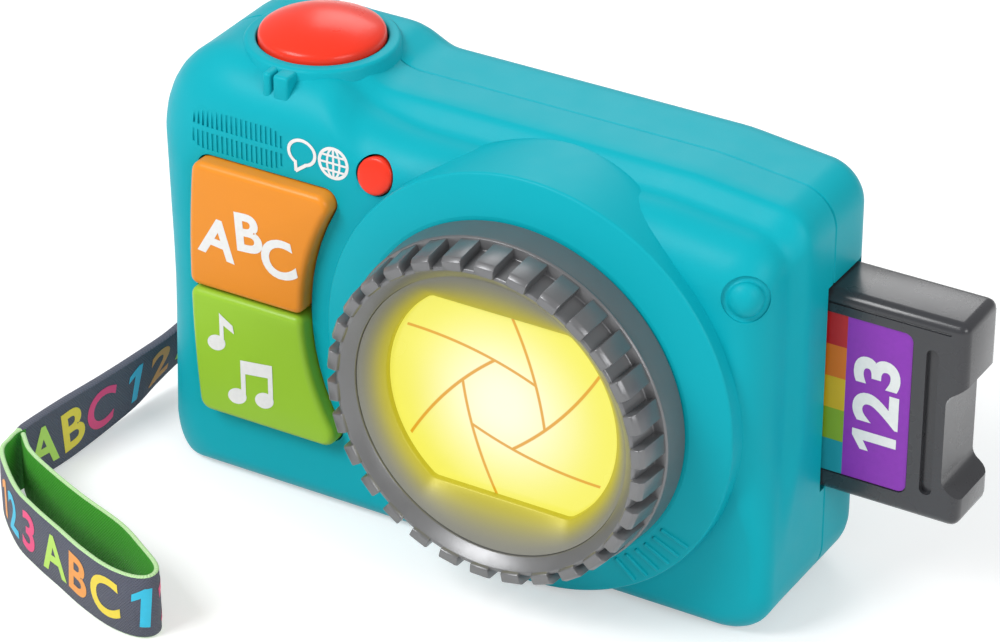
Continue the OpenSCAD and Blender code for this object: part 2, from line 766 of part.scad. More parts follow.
module back_shell() color("#1fb5c4") difference() {
    union() {
        difference() {
            union() {
                back_form(0, 0);
                back_half() shutter_collar();
            }
            difference() {
                back_form(shell_wall, overrun);
                for (p = post_places) rod_y(p[0], p[1], seam_y, back_y, post_r);
            }
            shutter_well();
        }
        shutter_shelf();
        box([-half_w + shell_wall, pocket_y - pocket_wall, pocket_low_z - pocket_wall],
            [-half_w + pocket_d + pocket_wall, pocket_y + pocket_w + pocket_wall,
                pocket_low_z + pocket_h + pocket_wall]);
    }
    for (p = post_places) {
        rod_y(p[0], p[1], seam_y - overrun, back_y, clear_r);
        rod_y(p[0], p[1], head_seat_y, back_y + overrun, head_well_r);
    }
    box([-half_w - overrun, pocket_y, pocket_low_z], [-half_w + pocket_d, pocket_y + pocket_w,
        pocket_low_z + pocket_h]);
    translate([bar_x, bar_y, pocket_low_z - bar_seat]) cylinder(h = pocket_h + 2 * bar_seat, r = bar_r);
    box([door_left - door_gap, inner_back_y - overrun, door_low - door_gap],
        [door_right + door_gap, back_y + overrun, door_high + door_gap]);
    box([power_x - power_travel / 2 - power_grip_w / 2 - side_gap, back_y - power_recess,
        power_z - power_grip_h / 2 - side_gap],
        [power_x + power_travel / 2 + power_grip_w / 2 + side_gap, back_y + overrun,
            power_z + power_grip_h / 2 + side_gap]);
    box([power_x - power_travel / 2 - power_grip_w / 2 - side_gap, inner_back_y - overrun,
        power_z - power_neck_h / 2 - side_gap],
        [power_x + power_travel / 2 + power_grip_w / 2 + side_gap, back_y,
            power_z + power_neck_h / 2 + side_gap]);
    card_slot();
}

// Frosted dish that holds the window and carries the turning ring
hub_front_a = ring_front_a - hub_front_back;
hub_step_a = hub_front_a - hub_step_back;
window_front_a = hub_front_a - window_back;
bead_a = mix(ring_back_a, hub_step_a, bead_a_share);
module clipped_disc(r, half_h, h) intersection() {
    cylinder(h = h, r = r);
    translate([-r, -half_h, 0]) cube([2 * r, 2 * half_h, h]);
}
module lens_bezel() color("#a9abae") along_lens() difference() {
    rotate_extrude() polygon([
        [0, flange_a - flange_t], [flange_r, flange_a - flange_t], [flange_r, flange_a], [hub_r, flange_a],
        [hub_r, bead_a - bead_w / 2], [hub_r + bead_rise, bead_a - bead_w / 4],
        [hub_r + bead_rise, bead_a + bead_w / 4], [hub_r, bead_a + bead_w / 2], [hub_r, hub_step_a],
        [hub_nose_r, hub_step_a], [hub_nose_r, hub_front_a], [0, hub_front_a]]);
    translate([0, 0, flange_a - flange_t - overrun])
        cylinder(h = window_front_a - window_lip - flange_a + flange_t + overrun, r = hub_bore_r);
    hull() {
        translate([0, 0, hub_front_a]) cylinder(h = overrun, r = hub_nose_r - hub_rim, $fn = 48);
        translate([0, 0, window_front_a - window_lip - overrun])
            clipped_disc(window_r, window_half_h, overrun, $fn = 48);
    }
    for (k = [0:bezel_screw_count - 1]) rotate([0, 0, 45 + 360 * k / bezel_screw_count])
        translate([bezel_screw_r, 0,
            flange_a - flange_t - overrun]) cylinder(h = flange_t + 2 * overrun, r = small_clear_r);
}

// Translucent disc behind the dish
module lens_window() color("#fff95a") along_lens()
    translate([0, 0, window_front_a - window_lip - window_t]) cylinder(h = window_t,
        r = hub_bore_r - run_gap);

// Turning ring with grip blocks that wrap from its side to its front
ring_wall_a = mix(ring_back_a, ring_front_a, ring_wall_share);
tooth_back_a = ring_wall_a + 2 * ring_ridge_w + tooth_set;
module ring_tooth() rotate([90, 0, 0]) translate([0, 0, -tooth_w / 2]) linear_extrude(tooth_w) polygon([
    [ring_crown_r - tooth_rise, tooth_back_a], [ring_crown_r + tooth_rise, tooth_back_a],
    [ring_crown_r + tooth_rise - tooth_chamfer / 2, ring_front_a - tooth_chamfer],
    [ring_crown_r + tooth_rise - tooth_chamfer, ring_front_a + tooth_front_rise],
    [ring_crown_r - tooth_lap + tooth_chamfer / 2, ring_front_a + tooth_front_rise],
    [ring_crown_r - tooth_lap, ring_front_a - tooth_front_rise]]);
module lens_ring() color("#77787c") along_lens() {
    rotate_extrude() polygon([
        [ring_bore_r, ring_back_a], [ring_r, ring_back_a], [ring_shoulder_r, ring_wall_a],
        [ring_shoulder_r + ring_ridge, ring_wall_a + ring_ridge_w / 2], [ring_shoulder_r,
            ring_wall_a + ring_ridge_w],
        [ring_crown_r, ring_wall_a + 2 * ring_ridge_w], [ring_crown_r - ring_ridge, ring_front_a],
        [ring_nose_r, ring_front_a], [ring_nose_r, hub_step_a + face_gap], [ring_bore_r,
            hub_step_a + face_gap],
        [ring_bore_r, bead_a + bead_w / 2 + face_gap], [ring_bore_r + bead_rise + face_gap / 2,
            bead_a + bead_w / 2],
        [ring_bore_r + bead_rise + face_gap / 2, bead_a - bead_w / 2], [ring_bore_r,
            bead_a - bead_w / 2 - face_gap]]);
    for (k = [0:ring_teeth - 1]) rotate([0, 0, 360 * k / ring_teeth]) ring_tooth();
}

// Self-tapping screw pointing along +Z, with a cross cut in its head
module screw(shank, length, head, thick) difference() {
    union() {
        cylinder(h = length, r = shank);
        translate([0, 0, -thick]) cylinder(h = thick, r = head);
    }
    for (deg = [0, 90]) rotate([0, 0, deg])
        translate([-drive_r * head / head_r, -drive_w / 2, -thick - overrun])
        cube([2 * drive_r * head / head_r, drive_w, drive_d + overrun]);
}
module bezel_screws() color("silver") along_lens() for (k = [0:bezel_screw_count - 1])
    rotate([0, 0, 45 + 360 * k / bezel_screw_count])
    translate([bezel_screw_r, 0, flange_a - flange_t - board_t]) screw(small_shank_r, small_shank_len,
        small_head_r, small_head_t);
module board_screws() color("silver") for (p = board_boss_places)
    translate([p[0], board_front_y + board_t, p[1]]) rotate([90, 0, 0])
    screw(small_shank_r, small_shank_len, small_head_r, small_head_t);
module shell_screws() color("silver") for (p = post_places)
    translate([p[0], head_seat_y, p[1]]) rotate([90, 0, 0])
    screw(shank_r, head_seat_y - seam_y + pilot_d - overrun, head_r, head_t);

// Round board with the lights behind the window
module light_board() color("#2f6b3c") along_lens() translate([0, 0,
    flange_a - flange_t - board_t]) difference() {
    cylinder(h = board_t, r = light_board_r);
    for (k = [0:bezel_screw_count - 1]) rotate([0, 0, 45 + 360 * k / bezel_screw_count])
        translate([bezel_screw_r, 0, -overrun]) cylinder(h = board_t + 2 * overrun, r = small_clear_r);
}
module lens_leds() color("#fff6c8") along_lens() for (k = [0:led_count - 1])
    rotate([0, 0, 360 * k / led_count]) translate([led_ring_r, 0, flange_a - flange_t]) {
        cylinder(h = led_h - led_r, r = led_r);
        translate([0, 0, led_h - led_r]) sphere(r = led_r);
    }

// Domed shutter button with a retaining flange and a guide stem
shutter_flange_z = collar_lip_z - face_gap - shutter_flange_t;
module shutter_button() color("#ff4128") translate([shutter_x, 0, 0]) {
    top_z = collar_top + shutter_rise;
    difference() {
        rotate_extrude() polygon(concat(
            [[0, shutter_flange_z], [shutter_flange_r, shutter_flange_z],
                [shutter_flange_r, shutter_flange_z + shutter_flange_t], [shutter_r,
                    shutter_flange_z + shutter_flange_t],
                [shutter_r, top_z - shutter_edge_r]],
            [for (k = [1:6]) [shutter_r - shutter_edge_r * (1 - cos(75 * k / 6)),
                top_z - shutter_edge_r * (1 - sin(75 * k / 6))]],
            [for (k = [1:8]) let(s = 1 - k / 8, rim = shutter_r - shutter_edge_r * (1 - cos(75)))
                [rim * s, top_z + shutter_dome * (1 - s * s)]]));
        translate([0, 0, shutter_flange_z - overrun])
            cylinder(h = top_z - shutter_wall - shutter_flange_z, r = shutter_r - shutter_wall);
    }
    translate([0, 0, shelf_z]) cylinder(h = top_z - shelf_z, r = stem_r);
    translate([0, 0, shutter_flange_z]) cylinder(h = shutter_deck_t, r = shutter_r - shutter_wall / 2);
}

// Coil spring between the shelf and the shutter button
spring_low = shelf_z + shelf_t + spring_wire_r + face_gap;
spring_high = shutter_flange_z - spring_wire_r - face_gap;
module shutter_spring() color("silver") translate([shutter_x, 0, 0]) skin([
    for (k = [0:spring_turns * spring_turn_steps]) let(deg = 360 * k / spring_turn_steps,
        z = mix(spring_low, spring_high, k / (spring_turns * spring_turn_steps)))
    [for (j = [0:spring_sides - 1]) let(a = -360 * j / spring_sides, r = spring_r + spring_wire_r * cos(a))
        [r * cos(deg), r * sin(deg), z + spring_wire_r * sin(a)]]]);

module letters_button() color("#ff9830") big_button(letters_path, letters_stem[0], letters_stem[1],
    letters_low_z, z_top_buttons + button_flange);
module music_button() color("#93c82e") big_button(music_path, music_stem[0], music_stem[1],
    button_low_z - button_flange, button_low_z + button_h);

// Small round button with a flange behind its guide
small_back_y = switch_top_y - switch_gap - button_travel;
module language_button() color("#ff4128") {
    rod_y(small_button_x, small_button_z, front_y - small_button_proud, small_back_y, small_button_r);
    difference() {
        rod_y(small_button_x, small_button_z, small_boss_back_y + face_gap,
            small_boss_back_y + face_gap + small_flange_t, small_button_r + small_flange);
        along_lens() cylinder(h = body_d, r = mound_r + face_gap);
    }
}

// Main board with a tab for the small button
module main_board() color("#2f6b3c") difference() {
    plate_y(board_front_y, board_front_y + board_t) union() {
        translate([board_left, board_low_z]) square([board_right - board_left, board_mid_z - board_low_z]);
        translate([board_left, board_low_z]) square([board_top_right - board_left,
            board_top_z - board_low_z]);
        translate([board_tab_left, board_low_z]) square([board_right - board_tab_left,
            board_tab_top - board_low_z]);
    }
    for (p = board_boss_places) rod_y(p[0], p[1], board_front_y - overrun,
        board_front_y + board_t + overrun, small_clear_r);
}

// Press switches under the buttons, and one on the back of the board under the shutter stem
module press_switch() {
    translate([-switch_w / 2, -switch_w / 2, 0]) cube([switch_w, switch_w, switch_h]);
    cylinder(h = switch_h + switch_cap_h, r = switch_cap_r);
}
module key_switches() color("#3a3a3e") {
    for (p = [letters_stem, music_stem, [small_button_x, small_button_z]])
        translate([p[0], board_front_y, p[1]]) rotate([90, 0, 0]) press_switch();
    switch_z = shelf_z - shutter_travel - switch_gap - switch_h - switch_cap_h;
    translate([shutter_x, 0, switch_z]) press_switch();
    box([shutter_x - switch_w / 2, board_front_y + board_t, switch_z - shutter_switch_drop],
        [shutter_x + switch_w / 2, switch_w / 2, switch_z]);
}

// Small speaker on the main board, behind the slots
module speaker() color("#2b2b2e") translate([speaker_x, board_front_y, speaker_z]) rotate([90, 0,
    0]) rotate_extrude() polygon([
    [0, 0], [speaker_magnet_r, 0], [speaker_magnet_r, speaker_d * speaker_magnet_share],
    [speaker_r, speaker_d - speaker_dish], [speaker_r, speaker_d], [speaker_r - speaker_dish, speaker_d],
    [speaker_magnet_r, speaker_d - speaker_dish], [0, speaker_d - speaker_dish]]);

// Battery box, open to the back, with a flange against the inside of the back shell
module battery_box() color("#26292c") difference() {
    union() {
        box([box_left, box_front_y, door_low], [box_in_right + box_wall, inner_back_y, door_high]);
        box([door_left - box_flange, inner_back_y - box_flange_t, door_low - box_flange],
            [door_right + box_flange, inner_back_y, door_high + box_flange]);
        rod_y(door_screw_x, box_mid_z, inner_back_y - small_shank_len - box_flange_t, inner_back_y, post_r);
    }
    box([box_in_left, box_front_y + box_wall, box_mid_z - box_half_h],
        [box_in_right, inner_back_y + overrun, box_mid_z + box_half_h]);
    rod_y(door_screw_x, box_mid_z, inner_back_y - small_shank_len - overrun / 2, inner_back_y + overrun,
        small_pilot_r);
}
cell_rows = [-1, 1];
module battery_cells() color("#c9a14a") for (row = cell_rows)
    translate([(box_in_left + box_in_right) / 2, cell_y, box_mid_z + row * (cell_r + cell_gap / 2)])
    rotate([0, 90 * row, 0]) translate([0, 0, -(cell_len + cell_tip_h) / 2]) {
        cylinder(h = cell_len, r = cell_r);
        cylinder(h = cell_len + cell_tip_h, r = cell_tip_r);
    }

// Sprung end contacts, bent plates that touch the ends of the cells
module battery_contacts() color("silver") for (side = [-1, 1], row = cell_rows) {
    mid_x = (box_in_left + box_in_right) / 2;
    reach = (cell_len + cell_tip_h) / 2;
    end_x = (box_in_right - box_in_left) / 2;
    z = box_mid_z + row * (cell_r + cell_gap / 2);
    translate([mid_x, cell_y, z]) mirror([side < 0 ? 1 : 0, 0, 0]) rotate([90, 0, 0]) translate([0, 0,
        -cell_r / 2])
        linear_extrude(cell_r) polygon([[end_x, -cell_r / 2], [end_x, cell_r / 2], [end_x - contact_t,
            cell_r / 2],
            [reach, 0], [end_x - contact_t, -cell_r / 2]]);
}

// Battery door, flush with the back, with finger ridges
module battery_door() color("#1fb5c4") difference() {
    box([door_left, inner_back_y, door_low], [door_right, back_y, door_high]);
    rod_y(door_screw_x, box_mid_z, inner_back_y - overrun, back_y + overrun, small_clear_r);
    rod_y(door_screw_x, box_mid_z, back_y - small_head_t, back_y + overrun, small_head_r + face_gap);
    for (k = [0:door_grip_count - 1]) translate([door_left + (k + 2) * door_grip_step,
        back_y - door_grip_d, box_mid_z - door_grip_h / 2])
        cube([door_grip_w, door_grip_d + overrun, door_grip_h]);
}
module door_screw() color("silver") translate([door_screw_x, back_y - small_head_t,
    box_mid_z]) rotate([90, 0, 0])
    screw(small_shank_r, small_shank_len, small_head_r, small_head_t);

// Photo card: a thick frame with a label recess, a rib and a finger notch
label_x0 = card_start_x + card_nib_len + guide_stop;
label_x1 = card_end_x - label_end_in;
module card_profile() hull() for (y = [card_edge_r, card_t - card_edge_r], z = [card_edge_r,
    card_h - card_edge_r])
    translate([y, z]) circle(r = card_edge_r, $fn = 32);
module card_frame() color("#4b4b50") translate([0, card_y, card_z]) difference() {
    union() {
        translate([card_start_x, 0, 0]) rotate([90, 0,
            90]) linear_extrude(card_end_x - card_start_x) card_profile();
        box([card_start_x, card_t / 4, -card_nib], [card_start_x + card_nib_len, card_t * 3 / 4,
            card_h + card_nib]);
    }
    box([label_x0, -overrun, label_in], [label_x1, label_recess, card_h - label_in]);
    box([half_w - card_step_in, -overrun, card_h - card_step_in - card_step_w],
        [card_end_x - rib_in, card_step_d, card_h - card_step_in]);
    box([card_end_x - rib_in - rib_w, -overrun, rib_margin], [card_end_x - rib_in, rib_d,
        card_h - rib_margin]);
    translate([0, -overrun, 0]) rotate([90, 0, 0]) mirror([0, 0,
        1]) linear_extrude(card_t + 2 * overrun) polygon([
        [card_end_x + overrun, notch_low - notch_slope], [card_end_x, notch_low - notch_slope],
        [card_end_x - notch_depth, notch_low], [card_end_x - notch_depth, notch_low + notch_h],
        [card_end_x, notch_low + notch_h + notch_slope], [card_end_x + overrun,
            notch_low + notch_h + notch_slope]]);
}

// Printed label in the card's recess
module card_label() color("#8f36b5") translate([0, card_y, card_z])
    box([label_x0, label_recess - label_t, label_in], [label_x1, label_recess, card_h - label_in]);

// Guide that the card slides in: two channels joined by an end wall
guide_end_x = card_start_x - card_travel - guide_end_room;
guide_mouth_x = half_w - back_roll - face_gap;
module card_rail() {
    front = card_y - card_gap - guide_wall;
    back = inner_back_y;
    low = -card_gap - card_nib - guide_wall;
    difference() {
        box([guide_end_x - guide_wall, front, card_z + low], [guide_mouth_x, back, card_z + guide_lip]);
        box([guide_end_x, card_y - card_gap, card_z - card_gap], [guide_mouth_x + overrun,
            card_y + card_t + card_gap, card_z + guide_lip + overrun]);
        box([guide_end_x, card_y + card_t / 4 - card_gap, card_z + low + guide_wall],
            [card_start_x + card_nib_len + card_gap, card_y + card_t * 3 / 4 + card_gap, card_z]);
    }
}
module card_guide() color("#d8d8d4") {
    card_rail();
    translate([0, 0, 2 * card_z + card_h]) mirror([0, 0, 1]) card_rail();
    box([guide_end_x - guide_wall, card_y + card_t - guide_lip, card_z], [guide_end_x, inner_back_y,
        card_z + card_h]);
}

// Knob of the power switch and the switch behind it
module power_switch() color("#ff9830") translate([power_x, 0, power_z]) {
    box([-power_grip_w / 2, back_y - power_recess + face_gap, -power_grip_h / 2], [power_grip_w / 2,
        back_y + power_grip_out, power_grip_h / 2]);
    box([-power_grip_w / 2, inner_back_y - face_gap - power_plate_t, -power_neck_h / 2],
        [power_grip_w / 2, back_y, power_neck_h / 2]);
    box([-power_grip_w / 2 - power_plate_lap, inner_back_y - face_gap - power_plate_t,
        -power_neck_h / 2 - power_plate_lap],
        [power_grip_w / 2 + power_plate_lap, inner_back_y - face_gap, power_neck_h / 2 + power_plate_lap]);
}
module switch_body() color("#3a3a3e") box(
    [power_x - power_travel, inner_back_y - 2 * face_gap - power_plate_t - switch_body_d,
        power_ledge_top],
    [power_x + power_travel, inner_back_y - 2 * face_gap - power_plate_t, power_z + power_grip_h / 2]);

// Bar across the strap pocket
module strap_bar() color("silver") translate([bar_x, bar_y,
    pocket_low_z - bar_seat]) cylinder(h = pocket_h + 2 * bar_seat, r = bar_r);

// Ribbon along a route: each ring is the strap's cross-section, standing on its edge
function ribbon_rings(route, thick, closed) = [for (i = [0:len(route) - 1])
    let(a = closed ? wrapped(route, i - 1) : route[max(i - 1, 0)])
    let(b = closed ? wrapped(route, i + 1) : route[min(i + 1, len(route) - 1)], p = route[i])
    let(side = turned(unit([b[0] - a[0], b[1] - a[1]])) * thick / 2, up = sqrt(pow(strap_w / 2,
        2) - pow(p[3] / 2, 2)))
    [for (s = [[1, 1], [1, -1], [-1, -1], [-1, 1]])
        [p[0] + side[0] * s[0] + p[3] / 2 * s[1], p[1] + side[1] * s[0], p[2] + up * s[1]]]];
module strap_lead() color("#4e5468") {
    skin(ribbon_rings(lead_route, lead_t, false));
    translate([bar_x, bar_y, bar_z - strap_w / 2]) difference() {
        cylinder(h = strap_w, r = bar_r + eye_gap + strap_t);
        translate([0, 0, -overrun]) cylinder(h = strap_w + 2 * overrun, r = bar_r + eye_gap);
    }
}
module strap_loop() color("#4e5468") closed_skin(ribbon_rings(loop_route, strap_t, true));

front_shell();
back_shell();
lens_bezel();
lens_window();
lens_ring();
bezel_screws();
light_board();
lens_leds();
shutter_button();
shutter_spring();
letters_button();
music_button();
language_button();
main_board();
board_screws();
key_switches();
speaker();
battery_box();
battery_cells();
battery_contacts();
battery_door();
door_screw();
shell_screws();
card_frame();
card_label();
card_guide();
power_switch();
switch_body();
strap_bar();
strap_lead();
strap_loop();
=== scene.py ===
import math

import bmesh
import bpy
from mathutils import Matrix, Vector
from mathutils.bvhtree import BVHTree


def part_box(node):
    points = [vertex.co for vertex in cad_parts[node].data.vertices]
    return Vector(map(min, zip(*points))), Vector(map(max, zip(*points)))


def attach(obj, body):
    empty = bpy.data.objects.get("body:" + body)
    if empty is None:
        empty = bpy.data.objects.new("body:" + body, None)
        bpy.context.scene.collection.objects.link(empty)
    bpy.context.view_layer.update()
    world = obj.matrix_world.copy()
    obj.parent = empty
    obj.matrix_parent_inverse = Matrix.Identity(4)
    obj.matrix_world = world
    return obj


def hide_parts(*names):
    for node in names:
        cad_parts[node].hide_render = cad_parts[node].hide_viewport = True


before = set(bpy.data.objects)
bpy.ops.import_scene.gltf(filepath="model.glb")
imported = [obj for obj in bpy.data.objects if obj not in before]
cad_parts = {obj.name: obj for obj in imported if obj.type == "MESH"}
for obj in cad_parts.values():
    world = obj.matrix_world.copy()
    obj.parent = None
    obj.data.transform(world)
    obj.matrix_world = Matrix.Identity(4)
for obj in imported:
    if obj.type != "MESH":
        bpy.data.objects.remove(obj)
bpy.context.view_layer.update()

# Stand: a plain pale floor under a soft white sky, one broad lamp above the front left,
# a weaker one at the right and one behind. The camera looks down on the front right corner.
scene = bpy.context.scene
scene.view_settings.view_transform = "Standard"
view_line = Vector((-0.4373, 0.7424, -0.5075))
camera = bpy.data.objects.new("camera", bpy.data.cameras.new("camera"))
camera.data.sensor_width = 36
camera.data.lens = 154.8
camera.location = (0.4216, -0.7162, 0.5367)
camera.rotation_euler = view_line.to_track_quat("-Z", "Y").to_euler()
scene.collection.objects.link(camera)
scene.camera = camera


class Wire:
    """A socket of a node tree. Sums and products of wires add Math nodes."""

    def __init__(self, tree, socket=None):
        self.tree = tree
        self.socket = socket

    def add(self, kind, settings=None, sockets=None, out=0):
        """A new node of this kind: its settings first, then values or wires for its inputs."""
        node = self.tree.nodes.new("ShaderNode" + kind)
        for name, value in (settings or {}).items():
            if name == "stops":
                while len(node.color_ramp.elements) < len(value):
                    node.color_ramp.elements.new(0.5)
                for stop, (place, colour) in zip(node.color_ramp.elements, value):
                    stop.position = place
                    stop.color = (*colour, 1)
            elif name == "interpolation":
                node.color_ramp.interpolation = value
            else:
                setattr(node, name, value)
        for key, value in (sockets or {}).items():
            if isinstance(value, Wire):
                self.tree.links.new(value.socket, node.inputs[key])
            else:
                node.inputs[key].default_value = value
        return Wire(self.tree, node.outputs[out])

    def into(self, socket):
        """Links this wire to an input of a shader."""
        self.tree.links.new(self.socket, socket)

    def math(self, operation, first, second=0.0):
        return self.add("Math", {"operation": operation}, {0: first, 1: second})

    def mix(self, share, first, second):
        """Colour between two colours or colour wires."""
        colours = [c if isinstance(c, Wire) else (*c, 1) for c in (first, second)]
        return self.add("Mix", {"data_type": "RGBA"}, {0: share, 6: colours[0], 7: colours[1]}, out=2)

    def noise(self, where, scale, detail=2.0):
        return self.add("TexNoise", {}, {"Vector": where, "Scale": scale, "Detail": detail})

    def ramp(self, value, low, high):
        """A soft rise from 0 to 1 while the value goes from low to high."""
        return self.add("MapRange", {"interpolation_type": "SMOOTHSTEP"},
            {"Value": value, "From Min": low, "From Max": high})

    def relief(self, height, strength, depth=0.0001):
        """A bumpy normal from a wire for the height."""
        return self.add("Bump", {}, {"Strength": strength, "Distance": depth, "Height": height})

    def __add__(self, other):
        return self.math("ADD", self, other)

    def __sub__(self, other):
        return self.math("SUBTRACT", self, other)

    def __rsub__(self, other):
        return self.math("SUBTRACT", other, self)

    def __mul__(self, other):
        return self.math("MULTIPLY", self, other)


def new_finish(name, fixed):
    """A material, the inputs of its shader with some of them fixed, a wire that adds nodes to it and a wire
    for where a point is on the piece, in metres."""
    material = bpy.data.materials.new(name)
    material.use_nodes = True
    look = material.node_tree.nodes["Principled BSDF"].inputs
    for key, value in fixed.items():
        look[key].default_value = value
    wire = Wire(material.node_tree)
    return material, look, wire, wire.add("TexCoord", out="Object")


floor_finish, floor_look, floor_wire, floor_place = new_finish("pale_floor",
    {"Emission Strength": 1.0, "Roughness": 0.9, "Specular IOR Level": 0.1})
speckle = floor_wire.noise(floor_place, 9.0, 4.0)
shade = floor_wire.mix(speckle * 0.5, (0.7, 0.7, 0.7), (0.73, 0.73, 0.73))
shade.into(floor_look["Base Color"])
seen = floor_wire.add("LightPath", out="Is Camera Ray")
mirrored = floor_wire.add("LightPath", out="Is Glossy Ray")
through = floor_wire.add("LightPath", out="Is Transmission Ray")
met = floor_wire.math("MAXIMUM", floor_wire.math("MAXIMUM", seen, mirrored), through)
bright = floor_wire.mix(met, (0, 0, 0), (0.42, 0.42, 0.42))
bright.into(floor_look["Emission Color"])
bm = bmesh.new()
bmesh.ops.create_grid(bm, x_segments=4, y_segments=4, size=6.0)
bmesh.ops.translate(bm, verts=bm.verts, vec=(0, 0, -0.0003))
floor_mesh = bpy.data.meshes.new("floor")
bm.to_mesh(floor_mesh)
bm.free()
floor_mesh.materials.append(floor_finish)
floor = bpy.data.objects.new("floor", floor_mesh)
scene.collection.objects.link(floor)

world = bpy.data.worlds.new("sky")
world.use_nodes = True
sky = world.node_tree.nodes["Background"].inputs
sky["Color"].default_value = (1, 1, 1, 1)
sky["Strength"].default_value = 0.5
scene.world = world


def lamp(name, where, aim, width, watts):
    """A soft square lamp that points at a place on the object."""
    light = bpy.data.lights.new(name, "AREA")
    light.shape = "SQUARE"
    light.size = width
    light.energy = watts
    holder = bpy.data.objects.new(name, light)
    holder.location = where
    holder.rotation_euler = (Vector(aim) - Vector(where)).to_track_quat("-Z", "Y").to_euler()
    scene.collection.objects.link(holder)


lamp("key_lamp", (-0.6, -1.0, 1.2), (0, 0, 0.05), 0.7, 18.5)
lamp("side_lamp", (1.3, -0.5, 0.7), (0, 0, 0.05), 0.7, 7)
lamp("back_lamp", (-0.42, 1.0, 0.85), (0, 0, 0.08), 0.6, 3.5)


# Strap: one length of printed webbing, 16 mm wide, doubled and sewn into a lead that leaves the bar in
# the left side, then a single hand loop. It is limp and lies on its edge on the floor. The route holds
# points of its middle line, each with how far the upper edge leans to +X past the lower one.
mm = 0.001
strap_width = 16.0
strap_layer = 1.1
strap_route = [(-77.0, 14.0, 22.0, 0), (-80.5, 14, 22, 0), (-85, 10.5, 19, 2), (-89, 5, 15, 5),
    (-91.5, -3, 11.5, 5), (-93, -12, 9.5, 3), (-94.5, -24, 8.5, 1.5), (-96, -36, 8, 0), (-97, -46, 8, 0),
    (-97.3, -52, 8, 0), (-97, -56, 8, 0), (-95, -62, 8, 0), (-84, -72, 8, 0), (-75, -77, 8, 0),
    (-66, -81, 8, 0), (-57, -85, 8, 0), (-48, -88, 8, 0), (-41, -88.5, 8, 0), (-37.5, -86.5, 8, 0),
    (-38.5, -82.5, 8, 0), (-46, -77.5, 8, 0), (-55, -72.5, 8, 0), (-69, -67.5, 8, 0),
    (-81, -62.5, 8, 0), (-90, -58, 8, 0), (-95.6, -53, 8, 0)]
lead_points = 10


def smooth_line(points, steps):
    """A smooth line through the points, with this many steps between neighbours."""
    line = []
    vectors = [Vector(p) for p in points]
    ends = [2 * vectors[0] - vectors[1]] + vectors + [2 * vectors[-1] - vectors[-2]]
    for a, b, c, d in zip(ends, ends[1:], ends[2:], ends[3:]):
        for k in range(steps):
            t = k / steps
            line.append(0.5 * (2 * b + (c - a) * t + (2 * a - 5 * b + 4 * c - d) * t * t
                + (3 * b - a - 3 * c + d) * t * t * t))
    line.append(vectors[-1])
    return line


steps = 6
strap_line = smooth_line(strap_route, steps)
strap_run = [0.0]
for a, b in zip(strap_line, strap_line[1:]):
    strap_run.append(strap_run[-1] + (b.xyz - a.xyz).length)
lead_length = strap_run[(lead_points - 1) * steps]


def strap_place(run, out, up):
    """Point of the strap at a distance along it, so far out of its middle and up its width."""
    k = max(i for i in range(len(strap_run) - 1) if strap_run[i] <= max(run, 0) + 1e-9)
    t = (run - strap_run[k]) / (strap_run[k + 1] - strap_run[k])
    here = strap_line[k].lerp(strap_line[k + 1], t)
    before = strap_line[max(k - 1, 0)].lerp(strap_line[k], t)
    after = strap_line[k + 1].lerp(strap_line[min(k + 2, len(strap_line) - 1)], t)
    along = Vector((after.x - before.x, after.y - before.y, 0)).normalized()
    side = Vector((along.y, -along.x, 0))
    lean = here.w / 2
    rise = math.sqrt((strap_width / 2) ** 2 - lean ** 2)
    share = up / (strap_width / 2)
    return Vector((here.x + lean * share, here.y, here.z + rise * share)) - side * out


def linked(name, bm, smooth_deg=35):
    """The bmesh, drawn in millimetres, as an object in the scene's own metres."""
    bmesh.ops.scale(bm, vec=(mm, mm, mm), verts=bm.verts)
    mesh = bpy.data.meshes.new(name)
    bm.to_mesh(mesh)
    bm.free()
    mesh.shade_smooth()
    mesh.set_sharp_from_angle(angle=math.radians(smooth_deg))
    piece = bpy.data.objects.new(name, mesh)
    scene.collection.objects.link(piece)
    return piece


def fitted(piece, finish, body):
    """Gives a piece its material and the body it rides on."""
    piece.data.materials.append(finish)
    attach(piece, body)
    return piece


bm = bmesh.new()
print_uv = bm.loops.layers.uv.new("strap")
crown = 0.12
reach = strap_width / 2
flat = reach - 0.3
section = []
for run in strap_run:
    lead = min(max((lead_length - run) / 3 + 0.5, 0), 1)
    half = strap_layer * (0.5 + 0.5 * lead)
    corners = [(-half, -flat), (-half - crown, 0), (-half, flat), (-half * 0.5, reach), (half * 0.5, reach),
        (half, flat), (half + crown, 0), (half, -flat), (half * 0.5, -reach), (-half * 0.5, -reach)]
    section.append([bm.verts.new(strap_place(run, out, up)) for out, up in corners])
for a, b, run_a, run_b in zip(section, section[1:], strap_run, strap_run[1:]):
    for i in range(len(a)):
        j = (i + 1) % len(a)
        face = bm.faces.new((a[i], a[j], b[j], b[i]))
        side = 0 if i in (5, 6) else 1 if i in (0, 1) else 2
        for loop, u in zip(face.loops, (run_a, run_a, run_b, run_b)):
            loop[print_uv].uv = (u * mm, side)
bm.faces.new(reversed(section[0]))
bm.faces.new(section[-1])
bmesh.ops.recalc_face_normals(bm, faces=bm.faces)
strap = linked("strap", bm, 50)

